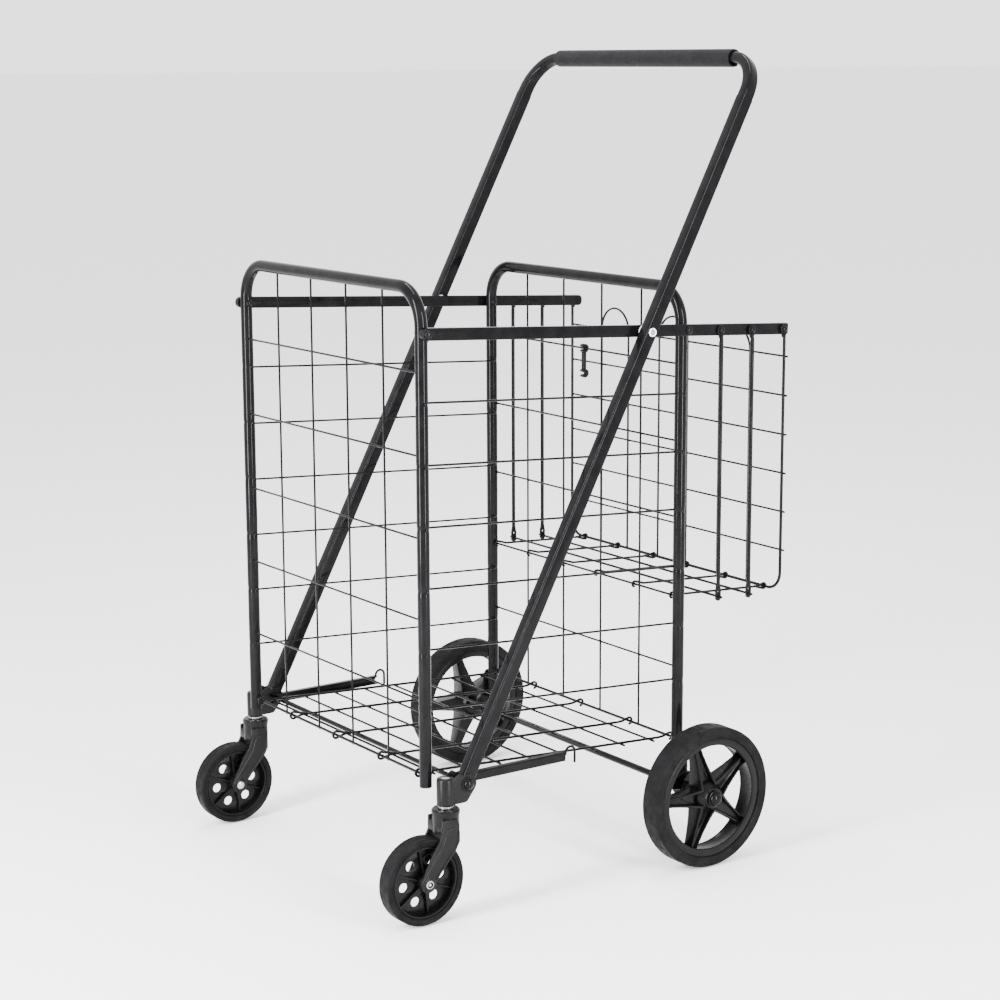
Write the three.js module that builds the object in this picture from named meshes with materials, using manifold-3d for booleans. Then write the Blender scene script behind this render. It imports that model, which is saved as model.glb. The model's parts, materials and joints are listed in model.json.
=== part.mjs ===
// Folding shopping trolley: two hooped tube frames joined by a parallelogram of
// riveted top bars, side wires and a hinged wire floor, with a rear basket hung
// from the top bars and a push handle whose legs carry the swivel casters.
// Millimetres, +Z up, the casters face -Y and the push handle is towards +Y.
import * as THREE from 'three';
import { mergeVertices } from 'three/addons/utils/BufferGeometryUtils.js';
import Module from 'manifold-3d';

const wasm = await Module();
wasm.setup();

// ---------- driving dimensions ----------
const DEG = Math.PI / 180;
const GAP = 0.35; // air left between pieces that touch on the real trolley
const BITE = 0.2; // how far welded wires sink into each other

const HALF_WIDTH = 212; // centre plane to the axis of a frame post
const DEPTH = 394; // front post axis to rear post axis
const SLOPE = 3.3 * DEG; // every link runs down towards the rear by this much
const FRONT_TOP = 768.9; // height of the front hoop's top tube
const FRONT_FOOT = 162; // height of the front posts' open lower ends
const REAR_FOOT = 112; // height of the rear posts' lower ends
const TUBE_RADIUS = 7.75;
const TUBE_WALL = 1.2;
const HOOP_BEND = 46;

const THIN_WIRE = 2.7; // side of the square that stands for a 3 mm wire
const FLOOR_WIRE = 3.6; // side of the square that stands for a 4 mm wire
const HINGE_WIRE_RADIUS = 2.4; // bottom wires that the floor hooks onto

const WHEEL_RADIUS = 93;
const WHEEL_HALF_TRACK = 275;
const AXLE_Y = 391;
const CASTER_RADIUS = 54.6;
const CASTER_TRAIL = 36;
const STEM_Y = 11.7;
const STEM_X = 237.5;

const BAR_FRONT_Z = 717; // height of the top bar at the front post axis
const BAR_HEIGHT = 15;
const BAR_THICK = 8;
const BAR_INNER_X = HALF_WIDTH + TUBE_RADIUS + 0.55;
const BAR_OUTER_X = BAR_INNER_X + BAR_THICK;

const HANDLE_PIVOT_Y = 320;
const FOOT_PIVOT = { y: 38, z: 167.5 };
const PIVOT_HOLE_RADIUS = 3.4;
const CROSS_ROD_RADIUS = 3.25;
const CROSS_ROD_HOLE_RADIUS = CROSS_ROD_RADIUS + 0.5;
const LEG_WIDTH = 15.5;
const LEG_DEPTH = 17.5;
const LEG_INNER_X = BAR_OUTER_X + 2.3; // a nylon washer fills this step
const LEG_X = LEG_INNER_X + LEG_WIDTH / 2;
const GRIP_Z = 1032.4;
const GRIP_RADIUS = 11.5;
const BOW_RADIUS = 7.6;
const BOW_BEND = 50;

const BASKET_Y = 552; // rear rods of the hung basket
const BASKET_HINGE_Z = 344.8; // wire of the rear panel that the basket floor hooks onto
const HANGER_YS = [445, 497];
const HANGER_X = BAR_OUTER_X + GAP;
const HANGER_ROD_RADIUS = 2.6;

const linkDrop = (y) => y * Math.tan(SLOPE);
const barZ = (y) => BAR_FRONT_Z - linkDrop(y);
const REAR_TOP = FRONT_TOP - linkDrop(DEPTH);
const FLOOR_FRONT_Z = 175.9;
const FLOOR_REAR_Z = FLOOR_FRONT_Z - linkDrop(DEPTH);
const HANDLE_PIVOT_Z = barZ(HANDLE_PIVOT_Y);
const HANDLE_LEAN = Math.atan2(HANDLE_PIVOT_Y - FOOT_PIVOT.y, HANDLE_PIVOT_Z - FOOT_PIVOT.z);
const HANGER_DROP = barZ(DEPTH) - BASKET_HINGE_Z;

// ---------- materials ----------
function finish(color, roughness, metalness) {
  return new THREE.MeshStandardMaterial({ color, roughness, metalness });
}
const paint = () => finish(0x111214, 0.28, 0.35);
const plastic = () => finish(0x26272a, 0.55, 0);
const rubber = () => finish(0x323335, 0.85, 0);
const foam = () => finish(0x2a2b2e, 0.9, 0);
const nylon = () => finish(0xe9e9e6, 0.5, 0);
const brightSteel = () => finish(0xc9ccd0, 0.25, 1);

// ---------- solid helpers ----------
const trolley = new THREE.Group();

function solid(geometry) {
  const bare = geometry.clone();
  bare.deleteAttribute('normal');
  bare.deleteAttribute('uv');
  const merged = mergeVertices(bare, 1e-4);
  return new wasm.Manifold(new wasm.Mesh({
    numProp: 3,
    vertProperties: new Float32Array(merged.attributes.position.array),
    triVerts: new Uint32Array(merged.index.array),
  }));
}

function geometryOf(manifold) {
  const mesh = manifold.getMesh();
  const geometry = new THREE.BufferGeometry();
  geometry.setAttribute('position', new THREE.BufferAttribute(new Float32Array(mesh.vertProperties), 3));
  geometry.setIndex(new THREE.BufferAttribute(new Uint32Array(mesh.triVerts), 1));
  geometry.computeVertexNormals();
  return geometry;
}

function union(solids) {
  return solids.reduce((whole, next) => whole.add(next));
}

function place(name, shape, material) {
  const geometry = shape.isBufferGeometry ? shape : geometryOf(shape);
  const mesh = new THREE.Mesh(geometry, material);
  mesh.name = name;
  trolley.add(mesh);
  return mesh;
}

function box(x0, x1, y0, y1, z0, z1) {
  const geometry = new THREE.BoxGeometry(x1 - x0, y1 - y0, z1 - z0);
  geometry.translate((x0 + x1) / 2, (y0 + y1) / 2, (z0 + z1) / 2);
  return solid(geometry);
}

// A straight rod between two points, as a prism with the given number of sides.
function rod(from, to, radius, sides = 8) {
  const start = new THREE.Vector3(...from);
  const end = new THREE.Vector3(...to);
  const along = end.clone().sub(start);
  const geometry = new THREE.CylinderGeometry(radius, radius, along.length(), sides);
  geometry.applyQuaternion(new THREE.Quaternion().setFromUnitVectors(
    new THREE.Vector3(0, 1, 0), along.clone().normalize()));
  geometry.translate(...start.add(end).multiplyScalar(0.5).toArray());
  return solid(geometry);
}

function rodX(x0, x1, y, z, radius, sides = 10) {
  return rod([x0, y, z], [x1, y, z], radius, sides);
}

// A wire of square section between two points that lie in a plane of constant X.
function squareWire(from, to, side) {
  const start = new THREE.Vector3(...from);
  const end = new THREE.Vector3(...to);
  const along = end.clone().sub(start);
  const geometry = new THREE.BoxGeometry(side, along.length(), side);
  geometry.rotateX(Math.atan2(along.z, along.y));
  geometry.translate(...start.add(end).multiplyScalar(0.5).toArray());
  return solid(geometry);
}

// A route whose sections fall exactly on the given points.
class Route extends THREE.Curve {
  constructor(points) {
    super();
    this.points = points;
  }
  getPoint(t, target = new THREE.Vector3()) {
    const at = Math.min(t * (this.points.length - 1), this.points.length - 1);
    const first = Math.min(Math.floor(at), this.points.length - 2);
    return target.lerpVectors(this.points[first], this.points[first + 1], at - first);
  }
  getPointAt(t, target) {
    return this.getPoint(t, target);
  }
}

function arcPoints(centre, radius, fromAngle, toAngle, steps, toPoint) {
  return Array.from({ length: steps + 1 }, (_, i) => {
    const angle = fromAngle + (toAngle - fromAngle) * i / steps;
    return toPoint(centre[0] + radius * Math.cos(angle), centre[1] + radius * Math.sin(angle));
  });
}

// A tube, or a solid rod when inner is 0, swept along points.
function sweep(points, outer, inner = 0, sides = 10) {
  const ring = (radius) => Array.from({ length: sides }, (_, i) => {
    const angle = 2 * Math.PI * (i + 0.5) / sides;
    return new THREE.Vector2(radius * Math.cos(angle), radius * Math.sin(angle));
  });
  const section = new THREE.Shape(ring(outer));
  if (inner > 0) section.holes.push(new THREE.Path(ring(inner)));
  return new THREE.ExtrudeGeometry(section, {
    steps: points.length - 1, extrudePath: new Route(points), curveSegments: sides,
  });
}

// A flat shape drawn in (Y, Z) and given thickness along X.
function plateX(outline, x0, x1, holes = [], curveSegments = 6) {
  const shape = new THREE.Shape(outline.map(([y, z]) => new THREE.Vector2(y, z)));
  for (const hole of holes) {
    shape.holes.push(new THREE.Path().absarc(hole.y, hole.z, hole.radius, 0, 2 * Math.PI, true));
  }
  const geometry = new THREE.ExtrudeGeometry(shape, { depth: x1 - x0, bevelEnabled: false, curveSegments });
  geometry.applyMatrix4(new THREE.Matrix4().makeBasis(
    new THREE.Vector3(0, 1, 0), new THREE.Vector3(0, 0, 1), new THREE.Vector3(1, 0, 0)));
  geometry.translate(x0, 0, 0);
  return solid(geometry);
}

// Points round a circle in (Y, Z), all the way round or from one angle to another.
function circleOutline(y, z, radius, count, fromAngle = 0, toAngle = 2 * Math.PI) {
  const turn = toAngle - fromAngle;
  const intervals = turn === 2 * Math.PI ? count : count - 1;
  return Array.from({ length: count }, (_, i) => {
    const angle = fromAngle + turn * i / intervals;
    return [y + radius * Math.cos(angle), z + radius * Math.sin(angle)];
  });
}

// A ring that a wire end forms round a hinge wire.
function eyelet(x, y, z, inner, outer, width) {
  return plateX(circleOutline(y, z, outer, 6), x - width / 2, x + width / 2,
    [{ y, z, radius: inner }], 3);
}

// A body of revolution about the X axis, from a closed profile of [radius, x] points.
function turnedX(profile, y, z, segments) {
  const points = profile.map(([radius, x]) => new THREE.Vector2(radius, x));
  const geometry = new THREE.LatheGeometry([...points, points[0]], segments);
  geometry.rotateZ(-Math.PI / 2);
  geometry.translate(0, y, z);
  return solid(geometry);
}

function turnedZ(profile, x, y, segments) {
  const points = profile.map(([radius, z]) => new THREE.Vector2(radius, z));
  const geometry = new THREE.LatheGeometry([...points, points[0]], segments);
  geometry.rotateX(Math.PI / 2);
  geometry.translate(x, y, 0);
  return solid(geometry);
}

const sides = [['left', -1], ['right', 1]];

// A copy of a right-hand solid for the given side.
function handed(shape, sign) {
  return sign > 0 ? shape : shape.mirror([1, 0, 0]);
}

// ---------- hooped frames and their wire panels ----------
function hoop(y, foot, top) {
  const inner = HALF_WIDTH - HOOP_BEND;
  const shoulder = top - HOOP_BEND;
  const at = (x, z) => new THREE.Vector3(x, y, z);
  const bendSteps = 5;
  return sweep([
    at(-HALF_WIDTH, foot),
    ...arcPoints([-inner, shoulder], HOOP_BEND, Math.PI, Math.PI / 2, bendSteps, at),
    ...arcPoints([inner, shoulder], HOOP_BEND, Math.PI / 2, 0, bendSteps, at),
    at(HALF_WIDTH, foot),
  ], TUBE_RADIUS, TUBE_RADIUS - TUBE_WALL, 10);
}

place('front_frame_tube', hoop(0, FRONT_FOOT, FRONT_TOP), paint());
place('rear_frame_tube', hoop(DEPTH, REAR_FOOT, REAR_TOP), paint());

// Panel wires sit in three layers: hinge wires on the post axes, then the upright
// wires, then the level wires on the outer side. outward is -1 in front, 1 behind.
function panelGrid(y, outward, levelZs, bottomZ, top, hingeZ) {
  const uprightY = y + outward * (THIN_WIRE - BITE);
  const levelY = y + outward * 2 * (THIN_WIRE - BITE);
  const half = THIN_WIRE / 2;
  const nearestToPost = Math.abs(levelY - y) - half;
  const postFlank = Math.sqrt(TUBE_RADIUS ** 2 - nearestToPost ** 2);
  const levelHalf = HALF_WIDTH - postFlank - GAP;
  const hingeHalf = HALF_WIDTH - TUBE_RADIUS - GAP;
  const spacing = 2 * HALF_WIDTH / 5;
  const wires = [rodX(-hingeHalf, hingeHalf, y, bottomZ, HINGE_WIRE_RADIUS, 8)];
  for (const z of levelZs) {
    wires.push(box(-levelHalf, levelHalf, levelY - half, levelY + half, z - half, z + half));
  }
  if (hingeZ) {
    wires.push(box(-hingeHalf, hingeHalf, y - half, y + half, hingeZ - half, hingeZ + half));
  }
  for (const x of [-1.5, -0.5, 0.5, 1.5].map((step) => step * spacing)) {
    wires.push(box(x - half, x + half, uprightY - half, uprightY + half,
      bottomZ, top - TUBE_RADIUS - GAP));
  }
  return union(wires);
}

const LEVEL_STEP = 100;
const FRONT_LEVEL_TOP = 670.3;
const REAR_LEVEL_TOP = 648.3; // the fourth wire of the rear panel is the basket's hinge wire
const frontLevels = [0, 1, 2, 3, 4].map((step) => FRONT_LEVEL_TOP - step * LEVEL_STEP);
const rearLevels = [0, 1, 2, 4].map((step) => REAR_LEVEL_TOP - step * LEVEL_STEP);
place('front_panel_grid', panelGrid(0, -1, frontLevels, FLOOR_FRONT_Z, FRONT_TOP), paint());
place('rear_panel_grid', panelGrid(DEPTH, 1, rearLevels, FLOOR_REAR_Z, REAR_TOP, BASKET_HINGE_Z), paint());

// ---------- side wires ----------
const SIDE_WIRE_X = HALF_WIDTH - TUBE_RADIUS - 0.65 - THIN_WIRE / 2;
const SIDE_WIRE_END = 2; // the wire runs this far past each post axis
const SIDE_WIRE_TOP = 632.9;
const SIDE_WIRE_STEP = 75.6;
for (let level = 0; level < 6; level += 1) {
  const frontZ = SIDE_WIRE_TOP - level * SIDE_WIRE_STEP;
  for (const [side, sign] of sides) {
    place(`side_wire_${level + 1}_${side}`, squareWire(
      [sign * SIDE_WIRE_X, -SIDE_WIRE_END, frontZ + linkDrop(SIDE_WIRE_END)],
      [sign * SIDE_WIRE_X, DEPTH + SIDE_WIRE_END, frontZ - linkDrop(DEPTH + SIDE_WIRE_END)],
      THIN_WIRE), paint());
  }
}

// ---------- hinged floor ----------
function ladderFloor(lengthXs, crossYs, fromY, toY, fromZ, hingeRadius, crossHalf, wire, crossOffset) {
  const floorZ = (y) => fromZ - linkDrop(y - fromY);
  const eyeInner = hingeRadius + 0.5;
  const eyeOuter = eyeInner + 2.6;
  const inset = (eyeInner + eyeOuter) / 2;
  const wires = [];
  for (const x of lengthXs) {
    wires.push(eyelet(x, fromY, fromZ, eyeInner, eyeOuter, wire));
    wires.push(eyelet(x, toY, floorZ(toY), eyeInner, eyeOuter, wire));
    wires.push(squareWire([x, fromY + inset, floorZ(fromY + inset)],
      [x, toY - inset, floorZ(toY - inset)], wire));
  }
  const half = THIN_WIRE / 2;
  for (const y of crossYs) {
    const z = floorZ(y) + crossOffset;
    wires.push(box(-crossHalf, crossHalf, y - half, y + half, z - half, z + half));
  }
  return union(wires);
}

const FLOOR_CROSS_STEP = 49;
const FLOOR_FIRST_CROSS_Y = 20;
const FLOOR_SECOND_CROSS_Y = 70;
const FLOOR_CROSS_HALF = 199.5;
const floorCrossYs = [FLOOR_FIRST_CROSS_Y,
  ...[0, 1, 2, 3, 4, 5, 6].map((step) => FLOOR_SECOND_CROSS_Y + step * FLOOR_CROSS_STEP)];
const crossBelowLength = -(FLOOR_WIRE + THIN_WIRE) / 2 + BITE;
place('floor_grid', ladderFloor([-196.5, -110, 0, 110, 196.5], floorCrossYs, 0, DEPTH, FLOOR_FRONT_Z,
  HINGE_WIRE_RADIUS, FLOOR_CROSS_HALF, FLOOR_WIRE, crossBelowLength), paint());

// ---------- top bars ----------
const BAR_SKIN = 1.5; // sheet thickness of the channel that each top bar is pressed from
const BAR_RIVET_RADIUS = 4.6;
const BAR_REAR_Y = BASKET_Y + 3; // centre of the bar's rounded rear end

function tiltedBar(sign) {
  const front = -1;
  const rear = BAR_REAR_Y;
  const half = BAR_HEIGHT / 2;
  const outline = [
    ...circleOutline(rear, barZ(rear), half, 7, -Math.PI / 2 - SLOPE, Math.PI / 2 - SLOPE),
    ...circleOutline(front, barZ(front), half, 7, Math.PI / 2 - SLOPE, 1.5 * Math.PI - SLOPE),
  ];
  const pocketHalf = half - BAR_SKIN;
  const pocketEnd = 4;
  const corner = (y, offset) => [y + offset * Math.sin(SLOPE), barZ(y) + offset * Math.cos(SLOPE)];
  const pocket = plateX([
    corner(front + pocketEnd, -pocketHalf), corner(rear - pocketEnd, -pocketHalf),
    corner(rear - pocketEnd, pocketHalf), corner(front + pocketEnd, pocketHalf),
  ], BAR_INNER_X - 1, BAR_OUTER_X - BAR_SKIN);
  const rivets = [0, DEPTH].map((y) => rodX(BAR_INNER_X, BAR_OUTER_X + 1.6, y, barZ(y), BAR_RIVET_RADIUS));
  const pivotHole = rodX(BAR_INNER_X - 1, BAR_OUTER_X + 1, HANDLE_PIVOT_Y, HANDLE_PIVOT_Z, PIVOT_HOLE_RADIUS);
  const channel = plateX(outline, BAR_INNER_X, BAR_OUTER_X).subtract(pocket);
  return handed(union([channel, ...rivets]).subtract(pivotHole), sign);
}

for (const [side, sign] of sides) {
  place(`top_bar_${side}`, tiltedBar(sign), paint());
}

// ---------- hung rear basket ----------
const EYE_THICK = 3;
const TOP_EYE_RADIUS = 6;
const FOOT_EYE_RADIUS = 5.2;
const BASKET_LEVEL_HALF = 236; // half length of the level wires, past the corner rods
const BASKET_LEVEL_TOP = 648.9;
const BASKET_LEVEL_STEP = 51.8;
const BASKET_FLOOR_HALF = 238;
const CORNER_BEND = 24;
const ARCH_CENTRES = [-129, 3, 133];
const ARCH_HALF = 31;
const ARCH_TOP = 681;

function hanger(y, sign) {
  const top = barZ(y);
  const foot = top - HANGER_DROP;
  const rodX0 = HANGER_X + HANGER_ROD_RADIUS;
  const eyeTop = plateX(circleOutline(y, top, TOP_EYE_RADIUS, 8), HANGER_X, HANGER_X + EYE_THICK);
  const eyeFoot = plateX(circleOutline(y, foot, FOOT_EYE_RADIUS, 8), HANGER_X, HANGER_X + EYE_THICK,
    [{ y, z: foot, radius: THIN_WIRE / 2 + 1.1 }], 4);
  const shank = rod([rodX0, y, top - 4], [rodX0, y, foot + 4], HANGER_ROD_RADIUS);
  return handed(union([eyeTop, eyeFoot, shank]), sign);
}

HANGER_YS.forEach((y, i) => {
  for (const [side, sign] of sides) {
    place(`basket_hanger_${['front', 'rear'][i]}_${side}`, hanger(y, sign), paint());
  }
});

function basketBack() {
  const top = barZ(BASKET_Y);
  const foot = top - HANGER_DROP;
  const rodX0 = HANGER_X + HANGER_ROD_RADIUS;
  const bendX = rodX0 - CORNER_BEND;
  const bendZ = foot + CORNER_BEND;
  const at = (x, z) => new THREE.Vector3(x, BASKET_Y, z);
  const frame = solid(sweep([
    at(-rodX0, top - 2),
    ...arcPoints([-bendX, bendZ], CORNER_BEND, Math.PI, 1.5 * Math.PI, 5, at),
    ...arcPoints([bendX, bendZ], CORNER_BEND, -Math.PI / 2, 0, 5, at),
    at(rodX0, top - 2),
  ], HANGER_ROD_RADIUS, 0, 8));
  const half = THIN_WIRE / 2;
  const pieces = [frame];
  const eye = plateX(circleOutline(BASKET_Y, top, TOP_EYE_RADIUS, 8), HANGER_X, HANGER_X + EYE_THICK);
  for (const [, sign] of sides) {
    pieces.push(handed(eye, sign));
  }
  const levelY = BASKET_Y + THIN_WIRE - BITE;
  for (let level = 0; level < 6; level += 1) {
    const z = BASKET_LEVEL_TOP - level * BASKET_LEVEL_STEP;
    pieces.push(box(-BASKET_LEVEL_HALF, BASKET_LEVEL_HALF, levelY - half, levelY + half, z - half, z + half));
  }
  for (const x of ARCH_CENTRES) {
    pieces.push(solid(sweep([
      at(x - ARCH_HALF, foot),
      ...arcPoints([x, ARCH_TOP - ARCH_HALF], ARCH_HALF, Math.PI, 0, 6, at),
      at(x + ARCH_HALF, foot),
    ], half * 1.1, 0, 4)));
  }
  return union(pieces);
}
place('basket_back', basketBack(), paint());

place('basket_floor', ladderFloor([-199, -120, -37, 37, 120, 199], HANGER_YS, DEPTH, BASKET_Y,
  BASKET_HINGE_Z, HANGER_ROD_RADIUS, BASKET_FLOOR_HALF, THIN_WIRE, 0), paint());

// ---------- storage clip on the rear panel ----------
function storageClip() {
  const wireY = DEPTH + 2 * (THIN_WIRE - BITE);
  const wireZ = rearLevels[0];
  const inner = 2.5;
  const outer = 5.2;
  const length = 34;
  const halfWidth = 3.5;
  const stemHalf = 1.8;
  const stemInset = (inner + outer) / 2;
  const mouthFrom = Math.PI + 40 * DEG;
  const mouthTo = Math.PI + 320 * DEG;
  const hook = (z) => plateX([
    ...circleOutline(wireY, z, outer, 9, mouthFrom, mouthTo),
    ...circleOutline(wireY, z, inner, 9, mouthTo, mouthFrom),
  ], -halfWidth, halfWidth);
  const stem = box(-halfWidth, halfWidth, wireY - stemHalf, wireY + stemHalf,
    wireZ - length + stemInset, wireZ - stemInset);
  return union([hook(wireZ), hook(wireZ - length), stem]);
}
place('storage_clip', storageClip(), plastic());

// ---------- push handle ----------
const legVector = [Math.sin(HANDLE_LEAN), Math.cos(HANDLE_LEAN)];
const legAt = (along) => [FOOT_PIVOT.y + along * legVector[0], FOOT_PIVOT.z + along * legVector[1]];
const GRIP_ALONG = (GRIP_Z - FOOT_PIVOT.z) / Math.cos(HANDLE_LEAN);
const LEG_TOP = GRIP_ALONG - BOW_BEND - 6;
const LEG_FOOT = -11;
const LEG_WALL = 1.4;
const LEG_OUTER_X = LEG_INNER_X + LEG_WIDTH;

function legPrism(from, to, width, depth) {
  const geometry = new THREE.BoxGeometry(width, depth, to - from);
  geometry.rotateX(-HANDLE_LEAN);
  const [y, z] = legAt((from + to) / 2);
  geometry.translate(LEG_X, y, z);
  return solid(geometry);
}

function handleLeg(sign) {
  const shell = legPrism(LEG_FOOT, LEG_TOP, LEG_WIDTH, LEG_DEPTH);
  const bore = legPrism(LEG_FOOT - 5, LEG_TOP + 5, LEG_WIDTH - 2 * LEG_WALL, LEG_DEPTH - 2 * LEG_WALL);
  const x0 = LEG_INNER_X - 2;
  const x1 = LEG_OUTER_X + 2;
  const footHole = rodX(x0, x1, FOOT_PIVOT.y, FOOT_PIVOT.z, CROSS_ROD_HOLE_RADIUS);
  const pivotHole = rodX(x0, x1, HANDLE_PIVOT_Y, HANDLE_PIVOT_Z, PIVOT_HOLE_RADIUS);
  return handed(shell.subtract(bore).subtract(footHole).subtract(pivotHole), sign);
}

function handleBow() {
  const at = (x, along) => new THREE.Vector3(x, ...legAt(along));
  const inner = LEG_X - BOW_BEND;
  return sweep([
    at(-LEG_X, LEG_TOP + GAP),
    ...arcPoints([-inner, GRIP_ALONG - BOW_BEND], BOW_BEND, Math.PI, Math.PI / 2, 6, at),
    ...arcPoints([inner, GRIP_ALONG - BOW_BEND], BOW_BEND, Math.PI / 2, 0, 6, at),
    at(LEG_X, LEG_TOP + GAP),
  ], BOW_RADIUS, BOW_RADIUS - TUBE_WALL, 10);
}

place('handle_bow', handleBow(), paint());
const [gripY, gripZ] = legAt(GRIP_ALONG);
const gripHalf = LEG_X - BOW_BEND - 1;
const gripBore = BOW_RADIUS + GAP;
place('handle_grip', turnedX([
  [gripBore, -gripHalf], [GRIP_RADIUS - 1, -gripHalf], [GRIP_RADIUS, -gripHalf + 1.5],
  [GRIP_RADIUS, gripHalf - 1.5], [GRIP_RADIUS - 1, gripHalf], [gripBore, gripHalf],
], gripY, gripZ, 20), foam());

const WASHER_RADIUS = 8;
const RIVET_RADIUS = 3;
const RIVET_FOOT_RADIUS = 4.8;
const washerFaces = [BAR_OUTER_X + GAP, LEG_INNER_X - GAP];
const rivetFoot = BAR_OUTER_X - BAR_SKIN - GAP; // inner end of the shank, inside the channel
const rivetHead = LEG_OUTER_X + GAP;

for (const [side, sign] of sides) {
  place(`handle_leg_${side}`, handleLeg(sign), paint());
  place(`pivot_washer_${side}`, handed(turnedX([
    [PIVOT_HOLE_RADIUS, washerFaces[0]], [WASHER_RADIUS, washerFaces[0]],
    [WASHER_RADIUS, washerFaces[1]], [PIVOT_HOLE_RADIUS, washerFaces[1]],
  ], HANDLE_PIVOT_Y, HANDLE_PIVOT_Z, 16), sign), nylon());
  place(`pivot_rivet_${side}`, handed(turnedX([
    [0, rivetFoot - 1.6], [RIVET_FOOT_RADIUS, rivetFoot - 1.6], [RIVET_FOOT_RADIUS, rivetFoot],
    [RIVET_RADIUS, rivetFoot], [RIVET_RADIUS, rivetHead], [6.2, rivetHead], [5, rivetHead + 2],
    [0, rivetHead + 2.4],
  ], HANDLE_PIVOT_Y, HANDLE_PIVOT_Z, 12), sign), nylon());
}

// ---------- caster feet, cross rod and bottom rails ----------
const HOUSING_RADIUS = 10.5;
const HOUSING_BOTTOM = 144;
const HOUSING_TOP = 178;
const STEM_RADIUS = 5;
const STEM_BORE_RADIUS = STEM_RADIUS + 0.6;
const CHEEK = 1.5; // thickness of the two plates that clasp the leg's lower end

function uprightRod(z0, z1, radius, count) {
  return rod([STEM_X, STEM_Y, z0], [STEM_X, STEM_Y, z1], radius, count);
}

function casterFoot(sign) {
  const housing = uprightRod(HOUSING_BOTTOM, HOUSING_TOP, HOUSING_RADIUS, 16);
  const bore = uprightRod(HOUSING_BOTTOM - 1, HOUSING_TOP + 1, STEM_BORE_RADIUS, 12);
  const rootY = STEM_Y + 2;
  const bottom = HOUSING_BOTTOM + 1;
  const shoulder = HOUSING_TOP - 2;
  const crest = shoulder + 8;
  const cheekOutline = [
    [rootY, bottom], [41, bottom], [51, bottom + 11], [52, shoulder], [36, crest], [24, crest],
    [rootY, shoulder],
  ];
  const innerX = LEG_INNER_X - GAP - CHEEK;
  const outerX = LEG_OUTER_X + GAP;
  const cheeks = [innerX, outerX].map((x) => plateX(cheekOutline, x, x + CHEEK));
  const bridge = box(innerX, outerX + CHEEK, rootY, STEM_Y + HOUSING_RADIUS + BITE, bottom, shoulder);
  const pin = rodX(innerX - 3, outerX + 3, FOOT_PIVOT.y, FOOT_PIVOT.z, CROSS_ROD_HOLE_RADIUS);
  return handed(union([housing, bridge, ...cheeks]).subtract(bore).subtract(pin), sign);
}

const RAIL_HEIGHT = 12;
const RAIL_END = 200;
const RAIL_WALL = 1.4;
const RAIL_OVERHANG = 8; // how far the rail runs in front of the cross rod
const HOOK_BEND = 6;
const HOOK_WIRE_RADIUS = 1.4;

function bottomRail(sign) {
  const { y, z } = FOOT_PIVOT;
  const half = RAIL_HEIGHT / 2;
  const pocketHalf = half - RAIL_WALL;
  const front = y - RAIL_OVERHANG;
  const x0 = BAR_INNER_X;
  const x1 = BAR_OUTER_X;
  const body = box(x0, x1, front, RAIL_END, z - half, z + half);
  const pocket = box(x0 - 1, x1 - RAIL_WALL, front - 1, RAIL_END + 1, z - pocketHalf, z + pocketHalf);
  const hole = rodX(x0 - 1, x1 + 1, y, z, CROSS_ROD_HOLE_RADIUS);
  const at = (hookY, hookZ) => new THREE.Vector3(x1 - HOOK_WIRE_RADIUS, hookY, hookZ);
  const hookY = RAIL_END + 2;
  const hook = solid(sweep([
    at(RAIL_END - 6, z + 2), at(RAIL_END + 1, z + 3),
    ...arcPoints([hookY + HOOK_BEND, z + 5], HOOK_BEND, Math.PI, 0, 6, at),
    at(hookY + 2 * HOOK_BEND, z - 8),
  ], HOOK_WIRE_RADIUS, 0, 6));
  return handed(union([body.subtract(pocket).subtract(hole), hook]), sign);
}

const ROD_END = LEG_OUTER_X + GAP + CHEEK + GAP;
place('front_cross_rod', rodX(-ROD_END - 2, ROD_END + 2, FOOT_PIVOT.y, FOOT_PIVOT.z, CROSS_ROD_RADIUS, 12),
  paint());

for (const [side, sign] of sides) {
  place(`caster_foot_${side}`, casterFoot(sign), plastic());
  place(`bottom_rail_${side}`, bottomRail(sign), paint());
  const nutBore = CROSS_ROD_RADIUS + 0.15;
  place(`cross_rod_nut_${side}`, handed(turnedX([
    [nutBore, ROD_END], [7, ROD_END], [7, ROD_END + 1.5], [4.5, ROD_END + 4.5], [0, ROD_END + 5.4],
    [0, ROD_END + 2.4], [nutBore, ROD_END + 2.4],
  ], FOOT_PIVOT.y, FOOT_PIVOT.z, 12), sign), paint());
}

// ---------- swivel casters ----------
const HUB_Y = STEM_Y - CASTER_TRAIL;
const ARM_INNER = 13.8; // half the room between the fork arms
const ARM_THICK = 4;
const FORK_HEAD_RADIUS = 15.5;
const CROWN_BOTTOM = 112;
const CROWN_TOP = 130;
const FORK_TOP = 140;
const COLLAR_RADIUS = 9.5; // bright ring between the fork and its housing
const CASTER_AXLE_RADIUS = 4;
const CASTER_BORE_RADIUS = CASTER_AXLE_RADIUS + 0.4;
const AXLE_NUT_RADIUS = 6.5;

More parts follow.
